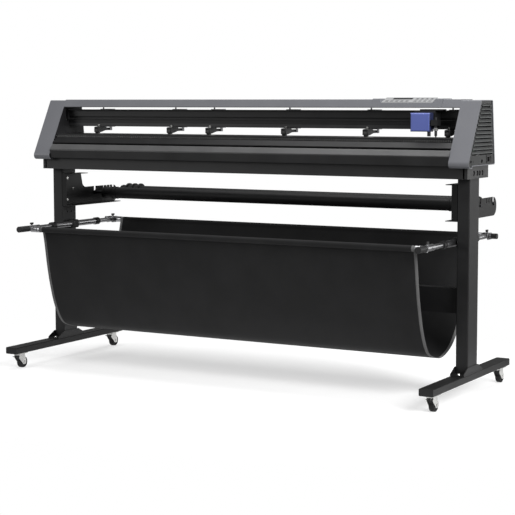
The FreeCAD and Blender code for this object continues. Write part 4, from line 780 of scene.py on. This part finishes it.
def cloth_panel(name, line, hem_points, tape_tone):
    width = 2 * half_width
    length = length_of(line)
    mesh = bmesh.new()
    mesh.loops.layers.uv.new("cloth_uv")
    rows = len(line) - 1
    bmesh.ops.create_grid(mesh, x_segments=COLUMNS, y_segments=rows, size=0.5, calc_uvs=True)
    seam = len(line) - 1 - hem_points
    walked = [0.0]
    for a, b in zip(line, line[1:]):
        walked.append(walked[-1] + (b - a).length)
    hang = walked[seam]
    for vert in mesh.verts:
        row = round((vert.co.y + 0.5) * rows)
        across = vert.co.x * width
        here = line[row].copy()
        ahead = line[min(row + 1, rows)] - line[max(row - 1, 0)]
        outward = Vector((0.0, ahead.z, -ahead.y)).normalized()
        s = min(walked[row] / hang, 1.0)
        settle = math.sin(math.pi * s) * s
        billow = noise.noise(Vector((across * 1.3, s * 1.2, 3.0 + line[-1].y)))
        ripple = noise.noise(Vector((across * 5.0, s * 2.0, 9.0 + line[-1].y)))
        near_seam = 0.0
        if row < seam:
            near_seam = max(0.0, 1.0 - abs(hang - walked[row]) / PUCKER_REACH)
        pucker = noise.noise(Vector((across * 38.0, 0.3, 21.0))) * near_seam * (1 - near_seam) * 4
        push = settle * (BILLOW * billow + RIPPLE * ripple) + PUCKER * pucker
        vert.co = here + outward * push
        vert.co.x = across
    made = piece(name, mesh, weave(name + "_weave", width, length, tape_tone), None,
                 recalculate=False)
    for polygon in made.data.polygons:
        polygon.use_smooth = True
    thick = made.modifiers.new("thickness", "SOLIDIFY")
    thick.thickness = CLOTH_THICKNESS
    thick.offset = 0.0
    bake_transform(made)
    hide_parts("basket_cloth")
    return made


front_cloth = cloth_panel("basket_front_cloth", front_line, len(front_turn),
                          0.112)
# The rear panel's tape is given a paler tone than the front's: painted light on the shaded inner face of
# the basket.
rear_cloth = cloth_panel("basket_rear_cloth", rear_line, len(rear_turn),
                         0.20)

# %% [markdown]
# ## Small details
#
# A machine reads as real through its fasteners and springs. The parts below are small, but each
# is a true shape: coil springs that press the pinch arms down, socket screws in the vent
# panels, a knurled rim on the blade holder's knob, and raised marks on the keys.

# %% Pinch arm springs
spring_metal = plated.material
arm_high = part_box("pinch_arms")[1]
pinch_middles = [-0.773, -0.387, -0.189, 0.181, 0.558, 0.915]
COIL_RADIUS = 0.0045
WIRE_RADIUS = 0.0006
COIL_TURNS = 5
COIL_STEPS = 70
springs = bmesh.new()
for middle in pinch_middles:
    wire = bmesh.ops.create_circle(springs, segments=6, radius=WIRE_RADIUS)["verts"]
    start = Vector((middle + COIL_RADIUS, -0.030, arm_high.z - 0.0035))
    bmesh.ops.rotate(springs, verts=wire, cent=(0, 0, 0), matrix=Matrix.Rotation(math.pi / 2, 3, "X"))
    bmesh.ops.translate(springs, verts=wire, vec=start)
    edges = list({edge for vert in wire for edge in vert.link_edges})
    bmesh.ops.spin(springs, geom=wire + edges, cent=start - Vector((COIL_RADIUS, 0, 0)),
                   axis=(0, 0, 1), dvec=(0, 0, 0.00016), angle=math.tau * COIL_TURNS,
                   steps=COIL_STEPS)
bmesh.ops.holes_fill(springs, edges=[e for e in springs.edges if e.is_boundary], sides=0)
piece("pinch_springs", springs, spring_metal, "pinch_set")

# %% [markdown]
# A socket screw is one outline turned round its axis. The outline dips in the middle, so the
# socket needs no boolean and the mesh stays clean.

# %% Screws
def screw_head(mesh, centre, axis, radius, height):
    """A low domed head with a round socket."""
    outline = [(0.0, height * 0.35), (radius * 0.42, height * 0.35), (radius * 0.42, height),
               (radius * 0.72, height * 0.86), (radius * 0.94, height * 0.5), (radius, 0.0), (0.0, 0.0)]
    turned(mesh, outline, axis, centre, steps=24)


screws = bmesh.new()
plate_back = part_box("vent_panels")[1].x - 0.0056
SCREW_PLACES = ((-0.096, 0.940), (0.108, 0.940), (-0.010, 1.160), (0.070, 1.160))
for side_sign in (-1, 1):
    outward = (side_sign, 0, 0)
    for y, z in SCREW_PLACES:
        screw_head(screws, (side_sign * (plate_back + 0.0001), y, z), outward, 0.0042, 0.0022)
piece("vent_screws", screws, powder_coat, "machine")

# %% Knurled knob rim
knob_rim = bmesh.new()
holder_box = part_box("blade_holder")
holder_middle = (holder_box[0] + holder_box[1]) / 2
teeth = 30
RIDGE_RADIUS = 0.00055
RIDGE_RING = 0.0086
RIDGE_HEIGHT = 0.0310         # middle of the rim above the blade's tip
for i in range(teeth):
    ridge = bmesh.ops.create_cone(knob_rim, cap_ends=True, segments=6, radius1=RIDGE_RADIUS,
                                  radius2=RIDGE_RADIUS, depth=0.0084)["verts"]
    turn = math.tau * i / teeth
    bmesh.ops.translate(knob_rim, verts=ridge, vec=(
        holder_middle.x + RIDGE_RING * math.cos(turn), holder_middle.y + RIDGE_RING * math.sin(turn),
        holder_box[0].z + RIDGE_HEIGHT))
piece("knob_knurl", knob_rim, bright_zinc, "blade", recalculate=False)

# %% [markdown]
# The key marks are plain arrows and dots, cut from thin film. Each is a polygon of a few
# corners, extruded a tenth of a millimetre, then turned onto the keypad's slope.

# %% Key marks
marks_finish = Finish("key_mark_ink")
ink_look = marks_finish.look((0.015, 0.015, 0.016), (0.020, 0.020, 0.021), 0.5, grain=1800.0,
                             depth=0.0)
ink = marks_finish.wear(ink_look)
key_marks = bmesh.new()
slope_turn = Matrix.Rotation(slope_angle, 3, "X")
pad_corner = Vector((pad_low.x, -0.026, 1.167))
MARK_LIFT = 0.00232           # the film's face above its slope's base
MARK_DEPTH = 0.0001
MARK_RADIUS = 0.0032


def key_mark(corners, turn, x, y):
    """A flat mark with a few corners at a place on the keypad's film."""
    flat = bmesh.ops.create_circle(key_marks, cap_ends=True, segments=corners,
                                     radius=MARK_RADIUS)["verts"]
    bmesh.ops.rotate(key_marks, verts=flat, cent=(0, 0, 0), matrix=Matrix.Rotation(turn, 3, "Z"))
    face = list({f for v in flat for f in v.link_faces})
    lifted = bmesh.ops.extrude_face_region(key_marks, geom=face)["geom"]
    top = [v for v in lifted if isinstance(v, bmesh.types.BMVert)]
    bmesh.ops.translate(key_marks, verts=top, vec=(0, 0, MARK_DEPTH))
    both = flat + top
    bmesh.ops.translate(key_marks, verts=both, vec=(x, y, MARK_LIFT))
    bmesh.ops.rotate(key_marks, verts=both, cent=(0, 0, 0), matrix=slope_turn)
    bmesh.ops.translate(key_marks, verts=both, vec=pad_corner)


def key_middle(row, column):
    """Middle of one key: along the film and up its slope."""
    start, _, pitch, low = row
    return start + column * pitch + KEY_WIDTH / 2, low + KEY_DEPTH / 2


for column in range(LOW_ROW[1]):
    key_mark(3, math.pi / 2 * column, *key_middle(LOW_ROW, column))
    key_mark(16, 0.0, *key_middle(HIGH_ROW, column))
for column in range(MENU_ROW[1]):
    key_mark(4, math.pi / 4, *key_middle(MENU_ROW, column))
piece("key_marks", key_marks, ink, "machine")
